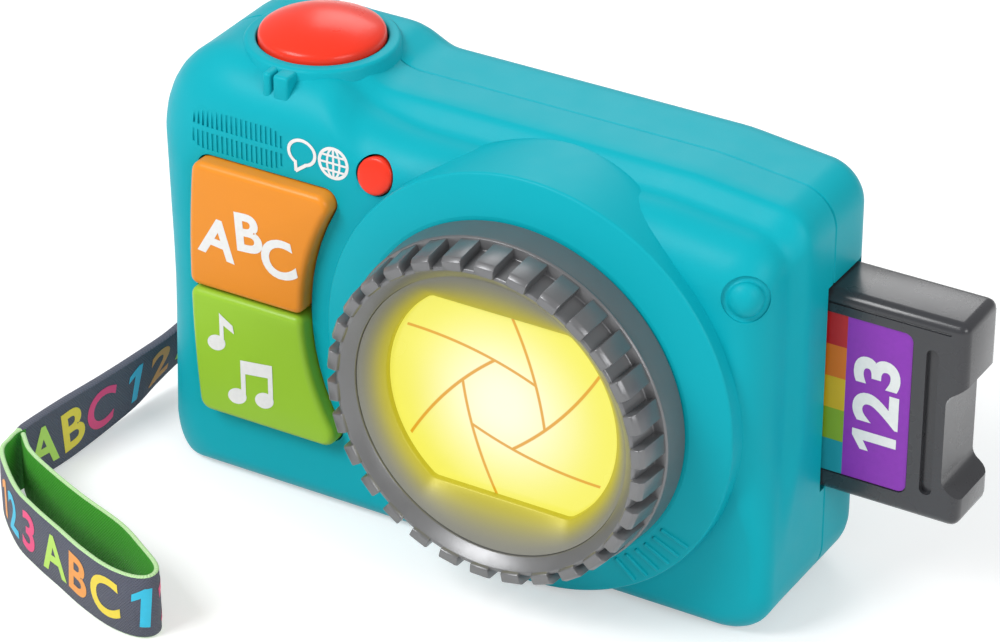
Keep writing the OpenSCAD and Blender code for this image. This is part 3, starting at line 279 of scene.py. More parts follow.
webbing, look, wire, where = new_finish("printed_webbing", {"Roughness": 0.72, "Sheen Weight": 0.08})
strap_uv = wire.add("UVMap", {"uv_map": "strap"})
along = wire.add("SeparateXYZ", {}, {0: strap_uv}, out=0)
side = wire.add("SeparateXYZ", {}, {0: strap_uv}, out=1)
height = wire.add("SeparateXYZ", {}, {0: where}, out=2)
ribs = wire.math("SINE", along * 9000.0)
cross = wire.math("SINE", height * 7800.0)
weave = ribs * cross
inside = wire.math("LESS_THAN", side, 0.5) * wire.math("GREATER_THAN", along, (lead_length - 1) * mm)
edge = wire.math("GREATER_THAN", side, 1.5) * wire.math("GREATER_THAN", along, lead_length * mm)
slate = wire.mix(weave * 0.25 + 0.5, (0.06, 0.068, 0.1), (0.1, 0.108, 0.15))
green = wire.mix(weave * 0.3 + 0.5, (0.02, 0.26, 0.003), (0.045, 0.38, 0.01))
selvedge = wire.mix(weave * 0.3 + 0.5, (0.42, 0.72, 0.3), (0.58, 0.82, 0.46))
colour = wire.mix(edge, wire.mix(inside, slate, green), selvedge)
colour.into(look["Base Color"])
wire.relief(weave, 0.5, 0.00025).into(look["Normal"])
fitted(strap, webbing, "body")
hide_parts("strap_lead", "strap_loop")


# Print on the strap: bright letters and numbers, heat-printed on the dark face of the webbing, so
# they follow its bends a hair above the weave.
def spun(bm, degrees, axis):
    """Turns a form about an axis through the origin."""
    bmesh.ops.rotate(bm, verts=bm.verts, matrix=Matrix.Rotation(math.radians(degrees), 3, axis))
    return bm


def moved(bm, vec):
    bmesh.ops.translate(bm, verts=bm.verts, vec=vec)
    return bm


def letter(text, height, bold):
    """A flat letter or number as a mesh, standing on the X axis and centred on Z."""
    if text == "1":
        bm = bmesh.new()
        figure = ((-0.04, -0.5), (0.16, -0.5), (0.16, 0.5), (0.02, 0.5), (-0.24, 0.31), (-0.24, 0.12),
            (-0.04, 0.25))
        bm.faces.new([bm.verts.new((x * height, 0, z * height)) for x, z in figure])
        return bm
    curve = bpy.data.curves.new("letter", "FONT")
    curve.body = text
    curve.size = height * 1.37
    curve.offset = bold
    curve.resolution_u = 6
    curve.align_x = "CENTER"
    holder = bpy.data.objects.new("letter", curve)
    scene.collection.objects.link(holder)
    bpy.context.view_layer.update()
    mesh = bpy.data.meshes.new_from_object(holder.evaluated_get(bpy.context.evaluated_depsgraph_get()))
    bpy.data.objects.remove(holder)
    bm = bmesh.new()
    bm.from_mesh(mesh)
    bpy.data.meshes.remove(mesh)
    bmesh.ops.remove_doubles(bm, verts=bm.verts, dist=0.001)
    low = min(v.co.y for v in bm.verts)
    high = max(v.co.y for v in bm.verts)
    return spun(moved(bm, (0, -(low + high) / 2, 0)), 90, "X")


def joined(parts):
    """Several bmeshes as one."""
    whole = bmesh.new()
    for part in parts:
        mesh = bpy.data.meshes.new("part")
        part.to_mesh(mesh)
        part.free()
        whole.from_mesh(mesh)
        bpy.data.meshes.remove(mesh)
    return whole


def ink(name, colour, roughness=0.5):
    """Printed ink: flat colour with a slight mottle and the gloss of a thin film."""
    material, look, wire, where = new_finish(name, {})
    mottle = wire.noise(where, 900.0)
    dull = tuple(c * 0.88 for c in colour)
    wire.mix(mottle, dull, colour).into(look["Base Color"])
    (mottle * 0.12 + roughness - 0.06).into(look["Roughness"])
    return material


strap_inks = {
    "pink": ink("strap_pink", (0.85, 0.06, 0.22)), "yellow": ink("strap_yellow", (0.9, 0.72, 0.06)),
    "orange": ink("strap_orange", (0.9, 0.36, 0.07)), "lime": ink("strap_lime", (0.5, 0.8, 0.12)),
    "sky": ink("strap_sky", (0.03, 0.55, 0.8))}
strap_print = [(19, 1, "3", "lime", 4), (29, 1, "2", "orange", -6), (38, 1, "1", "sky", 3),
    (50, 1, "C", "pink", 5), (60, 1, "B", "yellow", -4), (70, 1, "A", "lime", 3),
    (94, -1, "1", "orange", 0), (101, -1, "2", "sky", -5), (110, -1, "3", "pink", 5),
    (121, -1, "A", "lime", -4), (131, -1, "B", "orange", 5), (141, -1, "C", "yellow", -3),
    (151, -1, "1", "sky", 4), (158, -1, "2", "pink", -5)]
letter_height = {1: 10.5, -1: 10}
slice_width = 0.55
ink_lift = 0.16
strap_signs = {}
for run, face, text, tint, turn in strap_print:
    sign = spun(letter(text, letter_height[face], 0.35), turn, "Y")
    bmesh.ops.triangulate(sign, faces=sign.faces)
    for k in range(-10, 11):
        bmesh.ops.bisect_plane(sign, geom=sign.verts[:] + sign.edges[:] + sign.faces[:],
            plane_co=(slice_width * k, 0, 0), plane_no=(1, 0, 0))
    half = strap_layer if run < lead_length else strap_layer / 2
    for v in sign.verts:
        v.co = strap_place(run - face * v.co.x, face * (half + ink_lift), v.co.z)
    strap_signs.setdefault(tint, []).append(sign)
for tint, signs in strap_signs.items():
    fitted(linked("strap_print_" + tint, joined(signs)), strap_inks[tint], "body")


# Front shell: the moulded front half of the body, through-coloured teal with a fine satin grain. Its top
# has a flat band, a soft valley and a broad roll to the face, and its left shoulder swells into a hump.
front_y = -23.5
seam_y = 4.0
half_w = 80.0
hump_top = 106.5
shell_wall = 2.2


def mix(a, b, t):
    return a + (b - a) * t


def smooth(t):
    t = min(max(t, 0.0), 1.0)
    return t * t * (3 - 2 * t)


def rounded(corners, closed=True, step=6):
    """Points along a line whose corners (x, y, radius) are rounded."""
    points = []
    count = len(corners)
    for i, (x, y, r) in enumerate(corners):
        here = Vector((x, y))
        if r == 0 or (not closed and i in (0, count - 1)):
            points.append(here)
            continue
        u = (Vector(corners[i - 1][:2]) - here).normalized()
        v = (Vector(corners[(i + 1) % count][:2]) - here).normalized()
        half = math.acos(max(min(u.dot(v), 1), -1)) / 2
        centre = here + (u + v).normalized() * r / math.sin(half)
        start = here + u * r / math.tan(half) - centre
        sweep = math.atan2(*reversed(start.to_tuple()))
        end = here + v * r / math.tan(half) - centre
        turn = (math.atan2(end.y, end.x) - sweep + 3 * math.pi) % (2 * math.pi) - math.pi
        parts = max(2, round(abs(math.degrees(turn)) / step))
        for k in range(parts + 1):
            a = sweep + turn * k / parts
            points.append(centre + r * Vector((math.cos(a), math.sin(a))))
    return points


def evenly(points, step):
    """A closed line with long runs divided, so that a form can bend along them."""
    line = []
    for a, b in zip(points, points[1:] + points[:1]):
        parts = max(1, round((b - a).length / step))
        line += [a.lerp(b, k / parts) for k in range(parts)]
    return line


body_outline = evenly(rounded([(-half_w, 0, 9), (-78.4, 46, 300), (-half_w, hump_top, 21),
    (-33, hump_top, 12), (-25, 102.5, 12), (52, 102.5, 40), (half_w, 99.5, 9), (half_w, 0, 12)], step=5), 3.0)


def side_section(band, valley, dip, roll, face):
    """One side's section from the seam to the face: (depth, how far the outline is drawn in)."""
    points = [(seam_y - 0.12, 0.3), (seam_y - 0.4, 0.0)]
    points += [(mix(seam_y - 0.4, band, k / 3), 0.0) for k in (1, 2, 3)]
    points += [(mix(band, valley, k / 6), dip * smooth(k / 6)) for k in range(1, 7)]
    points += [(valley + (face - valley) * math.sin(math.radians(9 * k)),
        dip + roll * (1 - math.cos(math.radians(9 * k)))) for k in range(1, 11)]
    return points


def hump_share(x):
    """How far a place on the top belongs to the hump."""
    return smooth((-8 - x) / 34)


def high_share(z):
    """How far a place on the right side belongs to its upper part."""
    return smooth((z - 20) / 30)


def shell_rings(sides, wall):
    """Rings of points for a shell: each side's section, blended round the corners of the outline."""
    rings = []
    count = len(body_outline)
    for level in range(len(sides["left"])):
        ring = []
        for i, p in enumerate(body_outline):
            tangent = (body_outline[(i + 1) % count] - body_outline[i - 1]).normalized()
            normal = Vector((-tangent.y, tangent.x))
            right = zip(sides["right_low"][level], sides["right"][level])
            top = zip(sides["top"][level], sides["hump"][level])
            at = {"left": sides["left"][level], "bottom": sides["bottom"][level],
                "right": [mix(a, b, high_share(p.y)) for a, b in right],
                "top": [mix(a, b, hump_share(p.x)) for a, b in top]}
            weight = {"left": max(-normal.x, 0) ** 2, "right": max(normal.x, 0) ** 2,
                "top": max(normal.y, 0) ** 2, "bottom": max(-normal.y, 0) ** 2}
            depth = sum(weight[s] * at[s][0] for s in at) / sum(weight.values())
            inset = {s: at[s][1] + wall for s in at}
            x = mix(-half_w + inset["left"], half_w - inset["right"], (p.x + half_w) / (2 * half_w))
            z = mix(inset["bottom"], hump_top - inset["top"], p.y / hump_top)
            ring.append(Vector((x, depth, z)))
        rings.append(ring)
    return rings


def lofted(rings, closed=False):
    """A form through rings of points, with a flat face at each end or the last ring joined to the first."""
    bm = bmesh.new()
    loops = [[bm.verts.new(p) for p in ring] for ring in rings]
    for a, b in zip(loops, loops[1:] + (loops[:1] if closed else [])):
        for i in range(len(a)):
            j = (i + 1) % len(a)
            bm.faces.new((a[i], a[j], b[j], b[i]))
    if not closed:
        bm.faces.new(reversed(loops[0]))
        bm.faces.new(loops[-1])
    bmesh.ops.recalc_face_normals(bm, faces=bm.faces)
    return bm


def front_sides(face):
    """The front shell's section on each side, up to a face at this depth."""
    return {"left": side_section(-4, -9, 0, 13, face), "hump": side_section(-6, -11, 0, 13, face),
        "top": side_section(-6.5, -12.5, 4.8, 11.5, face), "right": side_section(-6.5, -13, 2.8, 8, face),
        "right_low": side_section(-13, -19, 0, 4.5, face), "bottom": side_section(-11, -17.5, 0, 6, face)}


outer = shell_rings(front_sides(front_y), 0.0)
inner = shell_rings(front_sides(front_y + shell_wall), shell_wall)
front_shell = linked("front_body", lofted(outer[::-1] + inner), 40)
shell_tree = BVHTree.FromObject(front_shell, bpy.context.evaluated_depsgraph_get())


def shell_point(x, z):
    """Point of the front shell's face at a place, before anything was cut from it, and the way it faces."""
    point, facing = shell_tree.ray_cast(Vector((x, -60, z)) * mm, Vector((0, 1, 0)))[:2]
    return point / mm, facing


def shell_face(x, z):
    return shell_point(x, z)[0].y


def rod(radius, start, end, segments=48):
    """A round bar between two points."""
    bm = bmesh.new()
    line = Vector(end) - Vector(start)
    bmesh.ops.create_cone(bm, cap_ends=True, segments=segments, radius1=radius, radius2=radius,
        depth=line.length)
    turn = Vector((0, 0, 1)).rotation_difference(line).to_matrix()
    bmesh.ops.rotate(bm, verts=bm.verts, matrix=turn)
    return moved(bm, (Vector(start) + Vector(end)) / 2)


def softened(bm, edges, radius, segments):
    """Rounds edges of a form."""
    bmesh.ops.bevel(bm, geom=edges, offset=radius, segments=segments, profile=0.5, affect="EDGES",
        material=-1)
    return bm


def block(low, high, edge=0.0, segments=3):
    """A box between two corners, with rounded edges if an edge radius is given."""
    bm = bmesh.new()
    bmesh.ops.create_cube(bm, size=1.0)
    bmesh.ops.scale(bm, verts=bm.verts, vec=Vector(high) - Vector(low))
    moved(bm, (Vector(low) + Vector(high)) / 2)
    return softened(bm, bm.edges, edge, segments) if edge else bm


def deepened(bm, depth):
    """A flat face drawn out along Y into a plate."""
    pushed = bmesh.ops.extrude_face_region(bm, geom=bm.faces[:])["geom"]
    bmesh.ops.translate(bm, verts=[v for v in pushed if isinstance(v, bmesh.types.BMVert)], vec=(0, depth, 0))
    bmesh.ops.recalc_face_normals(bm, faces=bm.faces)
    return bm


def slab(points, y0, y1):
    """A plate drawn in X and Z, between two depths."""
    bm = bmesh.new()
    bm.faces.new([bm.verts.new((p[0], y0, p[1])) for p in points])
    return deepened(bm, y1 - y0)


def cut(piece, cutters, smooth_deg=40):
    """Takes the cutters out of a piece, one after the other."""
    for cutter in cutters:
        tool = linked("cutter", cutter)
        change = piece.modifiers.new("cut", "BOOLEAN")
        change.operation = "DIFFERENCE"
        change.solver = "EXACT"
        change.object = tool
        bpy.context.view_layer.update()
        mesh = bpy.data.meshes.new_from_object(piece.evaluated_get(bpy.context.evaluated_depsgraph_get()))
        piece.modifiers.clear()
        old = piece.data
        piece.data = mesh
        bpy.data.meshes.remove(old)
        bpy.data.objects.remove(tool)
    piece.data.shade_smooth()
    piece.data.set_sharp_from_angle(angle=math.radians(smooth_deg))


def turned(profile, centre, axis, steps=96, closed=False):
    """A turned form: points (radius, distance along the axis) spun round the axis."""
    bm = bmesh.new()
    axis = Vector(axis)
    across = Vector((1, 0, 0))
    verts = [bm.verts.new(Vector(centre) + across * p[0] + axis * p[1]) for p in profile]
    pairs = list(zip(verts, verts[1:])) + ([(verts[-1], verts[0])] if closed else [])
    edges = [bm.edges.new(pair) for pair in pairs]
    bmesh.ops.spin(bm, geom=verts + edges, cent=centre, axis=axis, angle=2 * math.pi, steps=steps,
        use_merge=True)
    bmesh.ops.remove_doubles(bm, verts=bm.verts, dist=0.0005)
    bmesh.ops.recalc_face_normals(bm, faces=bm.faces)
    return bm


lens_x = 22.0
lens_z = 51.2
button_low = 18.8
button_high = 31.9
button_gap = 0.7
buttons_top = button_low + 2 * button_high + button_gap
buttons_left = -65.6
buttons_bow = 1.6
buttons_arc = 57.6


def button_outline(low, high, low_r, high_r, grow):
    """Outline of a big button: bowed at the left, and at the right an arc round the lens."""
    middle = (button_low + buttons_top) / 2
    span = buttons_top - middle

    def left(z):
        return buttons_left + buttons_bow * ((z - middle) / span) ** 2 - grow

    def right(z):
        return lens_x - math.sqrt((buttons_arc - grow) ** 2 - (z - lens_z) ** 2)

    heights = [mix(low + low_r + 1.5, high - high_r - 1.5, k / 12) for k in range(13)]
    corners = [(left(low), low - grow, low_r + grow)] + [(left(z), z, 0) for z in heights]
    corners += [(left(high), high + grow, high_r + grow), (right(high), high + grow, high_r + grow)]
    corners += [(right(z), z, 0) for z in reversed(heights)] + [(right(low), low - grow, low_r + grow)]
    return rounded(corners, step=18)


button_pocket = slab(button_outline(button_low, buttons_top, 3, 3, 0.4), front_y - 4, front_y + 5)
small_button, small_button_up = shell_point(-18.2, 90.0)
small_button_hole = 4.66
grille = Vector((-53.8, front_y, 89.8))
slot_pitch = 1.3
slot_half = 0.33
slot_start = 0.65
slot_depth = 0.3
slots = []
for row in (-1, 1):
    for k in range(-9, 10):
        across = slot_pitch * k
        reach = 4.3 * math.sqrt(max(1 - (max(abs(across) - 8.5, 0) / 4.6) ** 2, 0.05))
        low, high = sorted((row * slot_start, row * (slot_start + reach)))
        floor_y = shell_face(grille.x + across, grille.z + (low + high) / 2) + slot_depth
        slots.append(block((grille.x + across - slot_half, front_y - 2, grille.z + low),
            (grille.x + across + slot_half, floor_y, grille.z + high)))
bump_at, bump_up = shell_point(72.5, 85)


def set_on_shell(bm, at, up):
    """A form made about the Z axis, moved to a point of the shell and turned square to it."""
    bmesh.ops.rotate(bm, verts=bm.verts, matrix=Vector((0, 0, 1)).rotation_difference(up).to_matrix())
    return moved(bm, at)


def laid_on_shell(bm, at, up):
    """A form made about the Z axis, laid round a point of the shell so that it follows the surface."""
    turn = Vector((0, 0, 1)).rotation_difference(up).to_matrix()
    for v in bm.verts:
        above = at + turn @ Vector((v.co.x, v.co.y, 12))
        v.co = shell_tree.ray_cast(above * mm, -up)[0] / mm + up * v.co.z
    return bm


groove_angles = [math.radians(36 * k) for k in range(10)]
bump_ring = [(4.5 + 0.8 * math.cos(a), 0.8 * math.sin(a)) for a in groove_angles]
bump_groove = laid_on_shell(turned(bump_ring, (0, 0, 0), (0, 0, 1), 48, True), bump_at, bump_up)
button_sweep = bmesh.new()
bmesh.ops.create_circle(button_sweep, cap_ends=True, segments=48, radius=small_button_hole)
deepened(set_on_shell(button_sweep, small_button, small_button_up), 8)
shutter_x = -46.0
shutter_hole = 14.75
lens_hole = 48.4
card_gap = 0.5
card_low = Vector((24.0, 2.0, 27.3))
card_high = Vector((112.6, 18.0, 77.8))
card_mouth = block((70, card_low.y - card_gap, card_low.z - card_gap),
    (84, card_high.y + card_gap, card_high.z + card_gap))
cut(front_shell, [
    rod(lens_hole, (lens_x, front_y - 8, lens_z), (lens_x, -2, lens_z), 96), button_pocket,
    rod(small_button_hole, small_button + 5 * small_button_up, small_button - 5 * small_button_up),
    button_sweep, joined(slots), bump_groove,
    rod(shutter_hole, (shutter_x, 0, 92), (shutter_x, 0, 112), 64), card_mouth.copy()])


def moulded(name, colour, roughness=0.38, grain=0.12, drift=0.05, coat=0.0, shine=0.24):
    """Moulded plastic: through-coloured, with the fine grain of a spark-eroded mould in its bump,
    slow drifts of colour where the melt has run, and gloss that is worn a little unevenly."""
    material, look, wire, where = new_finish(name,
        {"Coat Weight": coat, "Specular IOR Level": shine, "Coat Roughness": 0.2})
    flow = wire.noise(where, 28.0, 3.0)
    rub = wire.noise(where, 160.0, 4.0)
    fine = wire.noise(where, 4200.0, 1.0)
    deep = tuple(c * (1 - drift) for c in colour)
    pale = tuple(min(c * (1 + drift), 1) for c in colour)
    wire.mix(flow, deep, pale).into(look["Base Color"])
    (rub * 0.14 + roughness - 0.07).into(look["Roughness"])
    wire.relief(fine + rub * 0.4, grain).into(look["Normal"])
    return material


teal = moulded("teal_plastic", (0.002, 0.39, 0.47), 0.44, shine=0.13)
fitted(front_shell, teal, "body")
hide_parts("front_shell")


# Mound round the lens: part of the front shell's moulding, a shallow cone with a crisp rim whose wall
# runs back to the top band. Short grip ridges stand on its lower right.
def with_shell(name, bm, smooth_deg=35):
    """A form that is moulded with a shell."""
    return fitted(linked(name, bm, smooth_deg), teal, "body")


lens_back = Vector((lens_x, 0, lens_z))
lens_way = (0, -1, 0)
mound_rim = (50.8, 27.0)
mound_top = (41.7, 29.5)
mound_profile = rounded([(50.7, 5.6, 0), (*mound_rim, 0.8), (*mound_top, 0.4), (34.2, 29.5, 0.2),
    (34.2, 27.3, 0), (41, 27.3, 0), (lens_hole, 25.0, 0), (lens_hole, 5.6, 0)], step=15)
with_shell("mound", turned(mound_profile, lens_back, lens_way, 144, True), 30)
mound_slope = math.degrees(math.atan2(mound_top[1] - mound_rim[1], mound_rim[0] - mound_top[0]))


def round_lens(bm, degrees):
    """A form made about the Z axis, turned by an angle and set about the lens axis."""
    return moved(spun(spun(bm, degrees, "Z"), 90, "X"), lens_back)


ticks = []
for k in range(6):
    tick = spun(block((-3.6, -0.45, -0.5), (3.6, 0.45, 0.55), 0.3), mound_slope, "Y")
    ticks.append(round_lens(moved(tick, (46.2, 0, 28.25)), -34.5 - 4.2 * k))
with_shell("mound_ticks", joined(ticks))

# Bump and rib: small moulded features of the front shell, a round dome in a round groove at the right of
# the lens and a double rib below the shutter.
dome_angles = [math.radians(9 * k) for k in range(11)]
bump_profile = [(3.9 * math.sin(a), 1.7 * math.cos(a) - 0.3) for a in dome_angles] + [(3.9, -1.4)]
bump = laid_on_shell(turned(bump_profile, (0, 0, 0), (0, 0, 1), 48), bump_at, bump_up)
with_shell("round_bump", bump, 60)
rib_sides = ((-48.4, -46.2), (-45.6, -41.6))
ribs = [block((left, -21.2, 100.3), (right, -14, 106.6), 0.8) for left, right in rib_sides]
with_shell("shutter_rib", joined(ribs))

# Collar of the shutter button: a raised ring on the hump with a flared foot, half of it moulded with
# each shell.
collar_profile = rounded([(19.6, 98, 0), (18.6, 102.6, 7), (17.5, 107.0, 1.2), (shutter_hole, 107.2, 0.5),
    (shutter_hole, 96, 0)], closed=False, step=12)
with_shell("shutter_collar", turned(collar_profile, (shutter_x, 0, 0), (0, 0, 1)))

# Back shell: the moulded back half, flat behind, with the battery door's recess, screw wells, the
# slide switch's slot, the strap's pocket and its half of the card's mouth.
back_y = 23.5
back_band = 15.5
back_roll = 8


def back_sides(wall):
    """The back shell's section, the same on every side: a flat band and a roll."""
    points = [(seam_y + 0.12, 0.3), (seam_y + 0.4, 0.0)]
    points += [(mix(seam_y + 0.4, back_band, k / 3), 0.0) for k in (1, 2, 3)]
    points += [(back_band + (back_y - wall - back_band) * math.sin(math.radians(9 * k)),
        back_roll * (1 - math.cos(math.radians(9 * k)))) for k in range(1, 11)]
    return {side: points for side in ("left", "hump", "top", "right", "right_low", "bottom")}


outer = shell_rings(back_sides(0.0), 0.0)
inner = shell_rings(back_sides(shell_wall), shell_wall)
back_shell = linked("back_body", lofted(outer[::-1] + inner), 40)
back_tree = BVHTree.FromObject(back_shell, bpy.context.evaluated_depsgraph_get())
door_low, door_high = (corner * 1000 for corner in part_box("battery_door"))
door_gap = 0.3
wells = [(-66, 10), (68, 10), (-72, 91), (68, 85.65), (-16, 8)]
well_r = 3.5
pocket_low = Vector((-84, 9, 10))
pocket_high = Vector((-73, 19, 34))
cut(back_shell, [
    block((door_low.x - door_gap, 20, door_low.z - door_gap),
        (door_high.x + door_gap, 26, door_high.z + door_gap)),
    joined([rod(well_r, (x, 10, z), (x, 30, z), 32) for x, z in wells]),
    block((-26.9, 22.4, 87.6), (-13.1, 26, 93.4)), block((-26.9, 20, 88.6), (-13.1, 26, 92.4)),
    block(pocket_low, pocket_high), card_mouth,
    rod(shutter_hole, (shutter_x, 0, 92), (shutter_x, 0, 112), 64)])
fitted(back_shell, teal, "body")
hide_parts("back_shell")

# Linings of the back shell: the screw wells' tubes, each with a seat for its screw's head, and the walls of
# the strap's pocket. They are moulded with the shell.
linings = []
for x, z in wells:
    angles = [math.radians(30 * k) for k in range(12)]
    rim = [Vector((x + 5 * math.cos(a), 60, z + 5 * math.sin(a))) for a in angles]
    mouth = min(back_tree.ray_cast(p * mm, Vector((0, -1, 0)))[0].y / mm for p in rim) - 0.3
    profile = [(well_r, mouth), (4.9, mouth), (4.9, 8.5), (1.7, 8.5), (1.7, 9.9), (well_r, 9.9)]
    linings.append(turned(profile, (x, 0, z), (0, 1, 0), 32, True))
with_shell("screw_wells", joined(linings))
lining = 1.1
pocket = linked("strap_pocket", block((-77.6, pocket_low.y - lining, pocket_low.z - lining),
    pocket_high + lining * Vector((1, 1, 1))))
cut(pocket, [block(pocket_low, pocket_high)])
fitted(pocket, teal, "body")

# Lens ring: a turned grey moulding with a smooth foot, a thin ridge and 30 grip blocks that wrap from its
# side to its front. It snaps over the bead of the dish and turns on it.
ring_profile = rounded([(34.0, 29.8, 0), (41.0, 29.8, 0.3), (40.0, 35.9, 0.5), (40.6, 36.5, 0.25),
    (40.3, 37.1, 0.15), (37.8, 37.5, 0.4), (37.1, 45.2, 0.5), (36.3, 45.2, 0.5), (33.7, 42.8, 0.3),
    (33.7, 41.5, 0), (34.0, 41.5, 0)], step=20)
tooth_count = 30
tooth_half = 2.35
tooth_outline = [(36.6, 36.8), (40.1, 36.8), (39.5, 44.9), (38.7, 46.0), (36.6, 46.0), (36.2, 45.0)]
tooth_sides = [[(r, side * tooth_half * (0.93 + 0.07 * (r - 34) / 5), a) for r, a in tooth_outline]
    for side in (-1, 1)]
blocks = [turned(ring_profile, lens_back, lens_way, 144, True)]
for k in range(tooth_count):
    tooth = lofted(tooth_sides)
    blocks.append(round_lens(softened(tooth, tooth.edges, 0.28, 2), 360 / tooth_count * k + 5))
lens_ring = linked("grip_ring", joined(blocks), 40)
ring_grey, look, wire, where = new_finish("grey_ring_plastic", {"Metallic": 0.55})
flow = wire.noise(where, 60.0, 3.0)
rub = wire.noise(where, 300.0, 4.0)
fine = wire.noise(where, 5200.0, 1.0)
wire.mix(flow, (0.16, 0.162, 0.168), (0.21, 0.212, 0.218)).into(look["Base Color"])
(rub * 0.16 + 0.26).into(look["Roughness"])
wire.relief(fine, 0.14).into(look["Normal"])
fitted(lens_ring, ring_grey, "ring")
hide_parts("lens_ring")


# Dish: one frosted silver-grey moulding that screws to the back of the mound, carries the ring and
# slopes in to the window. The window's light on it is painted: a yellow tint and a glow towards the window.
def lens_loop(depth, radius, flat=None):
    """A round or clipped loop about the lens axis."""
    loop = []
    for k in range(144):
        a = math.radians(2.5 * k)
        up = radius * math.sin(a)
        if flat:
            up = min(max(up, -flat), flat)
        loop.append(Vector((lens_x + radius * math.cos(a), -depth, lens_z + up)))
    return loop


dish_loops = [lens_loop(21.5, 30.8), lens_loop(21.5, 46), lens_loop(24, 46), lens_loop(24, 33.85),
    lens_loop(41.1, 33.85), lens_loop(41.1, 33.58), lens_loop(42.3, 33.58)]
for k in range(1, 9):
    t = k / 8
    outer_loop = lens_loop(mix(42.4, 38.0, t), 33.45)
    inner_loop = lens_loop(mix(42.4, 38.0, t), 29, 23.4)
    dish_loops.append([a.lerp(b, t) for a, b in zip(outer_loop, inner_loop)])
dish_loops += [lens_loop(37.85, 28.8, 23.2), lens_loop(37.5, 28.7, 23.1), lens_loop(36.35, 28.7, 23.1),
    lens_loop(36.35, 30.8)]
dish = linked("lens_dish", lofted(dish_loops, True), 38)
frosted, look, wire, where = new_finish("frosted_dish", {"Metallic": 0.2, "Emission Strength": 1.0})


def coordinate(wire, where, axis, middle=0.0):
    """One coordinate of a point in millimetres from a middle."""
    return wire.add("SeparateXYZ", {}, {0: where}, out="xyz".index(axis)) * 1000.0 - middle


depth = coordinate(wire, where, "y")
grain = wire.noise(where, 2400.0, 2.0)
flow = wire.noise(where, 40.0, 2.0)
(grain * 0.2 + 0.36).into(look["Roughness"])
# Painted light: towards the window the dish's colour turns yellow and it glows, as if lit by the window
# behind.
painted_light_share = wire.ramp(depth, -42.4, -37.6)
grey = wire.mix(flow, (0.18, 0.183, 0.186), (0.23, 0.233, 0.236))
wire.mix(painted_light_share * 0.82 + 0.1, grey, (0.36, 0.32, 0.01)).into(look["Base Color"])
painted_window_glow = wire.mix(painted_light_share * (painted_light_share * 0.7 + 0.3), (0, 0, 0), (0.17, 0.145, 0.0))
painted_window_glow.into(look["Emission Color"])
wire.relief(grain, 0.1).into(look["Normal"])
fitted(dish, frosted, "body")
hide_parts("lens_bezel")

# Window: a milky disc, lit from behind by a board of lights, with six curved leaves of a lens iris
# printed on its back in thin amber lines.
window_edge = rounded([(0.0, 33.3, 0), (30.7, 33.3, 0.2), (30.7, 36.3, 0.2), (0.0, 36.3, 0)], closed=False,
    step=30)
window = linked("lens_window_disc", turned(window_edge, lens_back, lens_way, 144))
lit, look, wire, where = new_finish("lit_window", {"Emission Strength": 0.8})
across = coordinate(wire, where, "x", lens_x)
up = coordinate(wire, where, "z", lens_z)
radius = wire.math("SQRT", across * across + up * up)
warm = wire.ramp(radius, 2.0, 27.0)
light = wire.mix(warm, (1.0, 0.99, 0.75), (0.92, 0.87, 0.11))
cloud = wire.noise(where, 70.0, 2.0)
light = wire.mix(cloud * 0.12, light, (1.0, 0.96, 0.36))
lines = None
for k in range(6):
    a = math.radians(60 * k + 12)
    off = across * math.cos(a) + up * math.sin(a)
    run = up * math.cos(a) - across * math.sin(a)
    bend = run * run * 0.006
    close = 1.0 - wire.ramp(wire.math("ABSOLUTE", off + bend - 9.5), 0.22, 0.5)
    leaf = close * wire.math("GREATER_THAN", run, -5.4) * wire.math("LESS_THAN", run, 27.0)
    lines = leaf if lines is None else wire.math("MAXIMUM", lines, leaf)
light = wire.mix(lines * 0.9, light, (0.75, 0.32, 0.0))
wire.mix(0.8, light, (0.0, 0.0, 0.0)).into(look["Base Color"])
light.into(look["Emission Color"])
(cloud * 0.1 + 0.2).into(look["Roughness"])
fitted(window, lit, "body")
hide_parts("lens_window")

# Shutter button: a glossy red dome on a round skirt, held down by its collar and pushed up by a coil
# spring under it.
dome = [(0.0, 112.35)] + [(13.4 * k / 10, 109.2 + 3.15 * (1 - (k / 10) ** 2.2)) for k in range(1, 11)]
dome += [(14.0, 108.75), (14.3, 108.2), (14.4, 107.4), (14.4, 102.3), (12.4, 102.3), (12.4, 106.6),
    (0.0, 109.6)]
shutter = linked("shutter_dome", turned(dome, (shutter_x, 0, 0), (0, 0, 1), 96), 60)
red = moulded("red_plastic", (0.86, 0.035, 0.012), 0.3, 0.06, 0.04, 0.15)
fitted(shutter, red, "shutter")
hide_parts("shutter_button")


# Big buttons: two moulded caps with soft edges, orange above and green below, that share one pocket. Each
# is on a stem that presses a switch.
def key_cap(name, low, high, low_r, high_r):
    """A button cap from its outline, with a soft front edge and a flat face."""
    soft = 1.7
    side_y = -25.8
    angles = [math.radians(15 * k) for k in range(7)]
    levels = [(0.0, -19.5)] + [(soft * (1 - math.cos(a)), side_y - soft * math.sin(a)) for a in angles]
    rings = []
    for inset, y in levels:
        rings.append([(p.x, y, p.y) for p in button_outline(low, high, low_r, high_r, -inset)])
    return linked(name, lofted(rings), 30)


letters_low = button_low + button_high + button_gap
orange = moulded("orange_plastic", (0.8, 0.27, 0.02), 0.36, 0.08, 0.04, 0.05)
green = moulded("green_plastic", (0.31, 0.56, 0.035), 0.36, 0.08, 0.04, 0.05)
letters_key = key_cap("letters_key", letters_low, buttons_top, 2.2, 3.0)
fitted(letters_key, orange, "letters")
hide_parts("letters_button")
music_key = key_cap("music_key", button_low, button_low + button_high, 3.0, 2.2)
fitted(music_key, green, "music")
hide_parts("music_button")

# Prints on the keys: white pad-printed letters on the upper key, and plain notes on the lower one. Each
# plate lies a hair in front of the last one that it meets.
white_ink = ink("white_ink", (0.86, 0.86, 0.85), 0.4)
key_print_y = -27.56


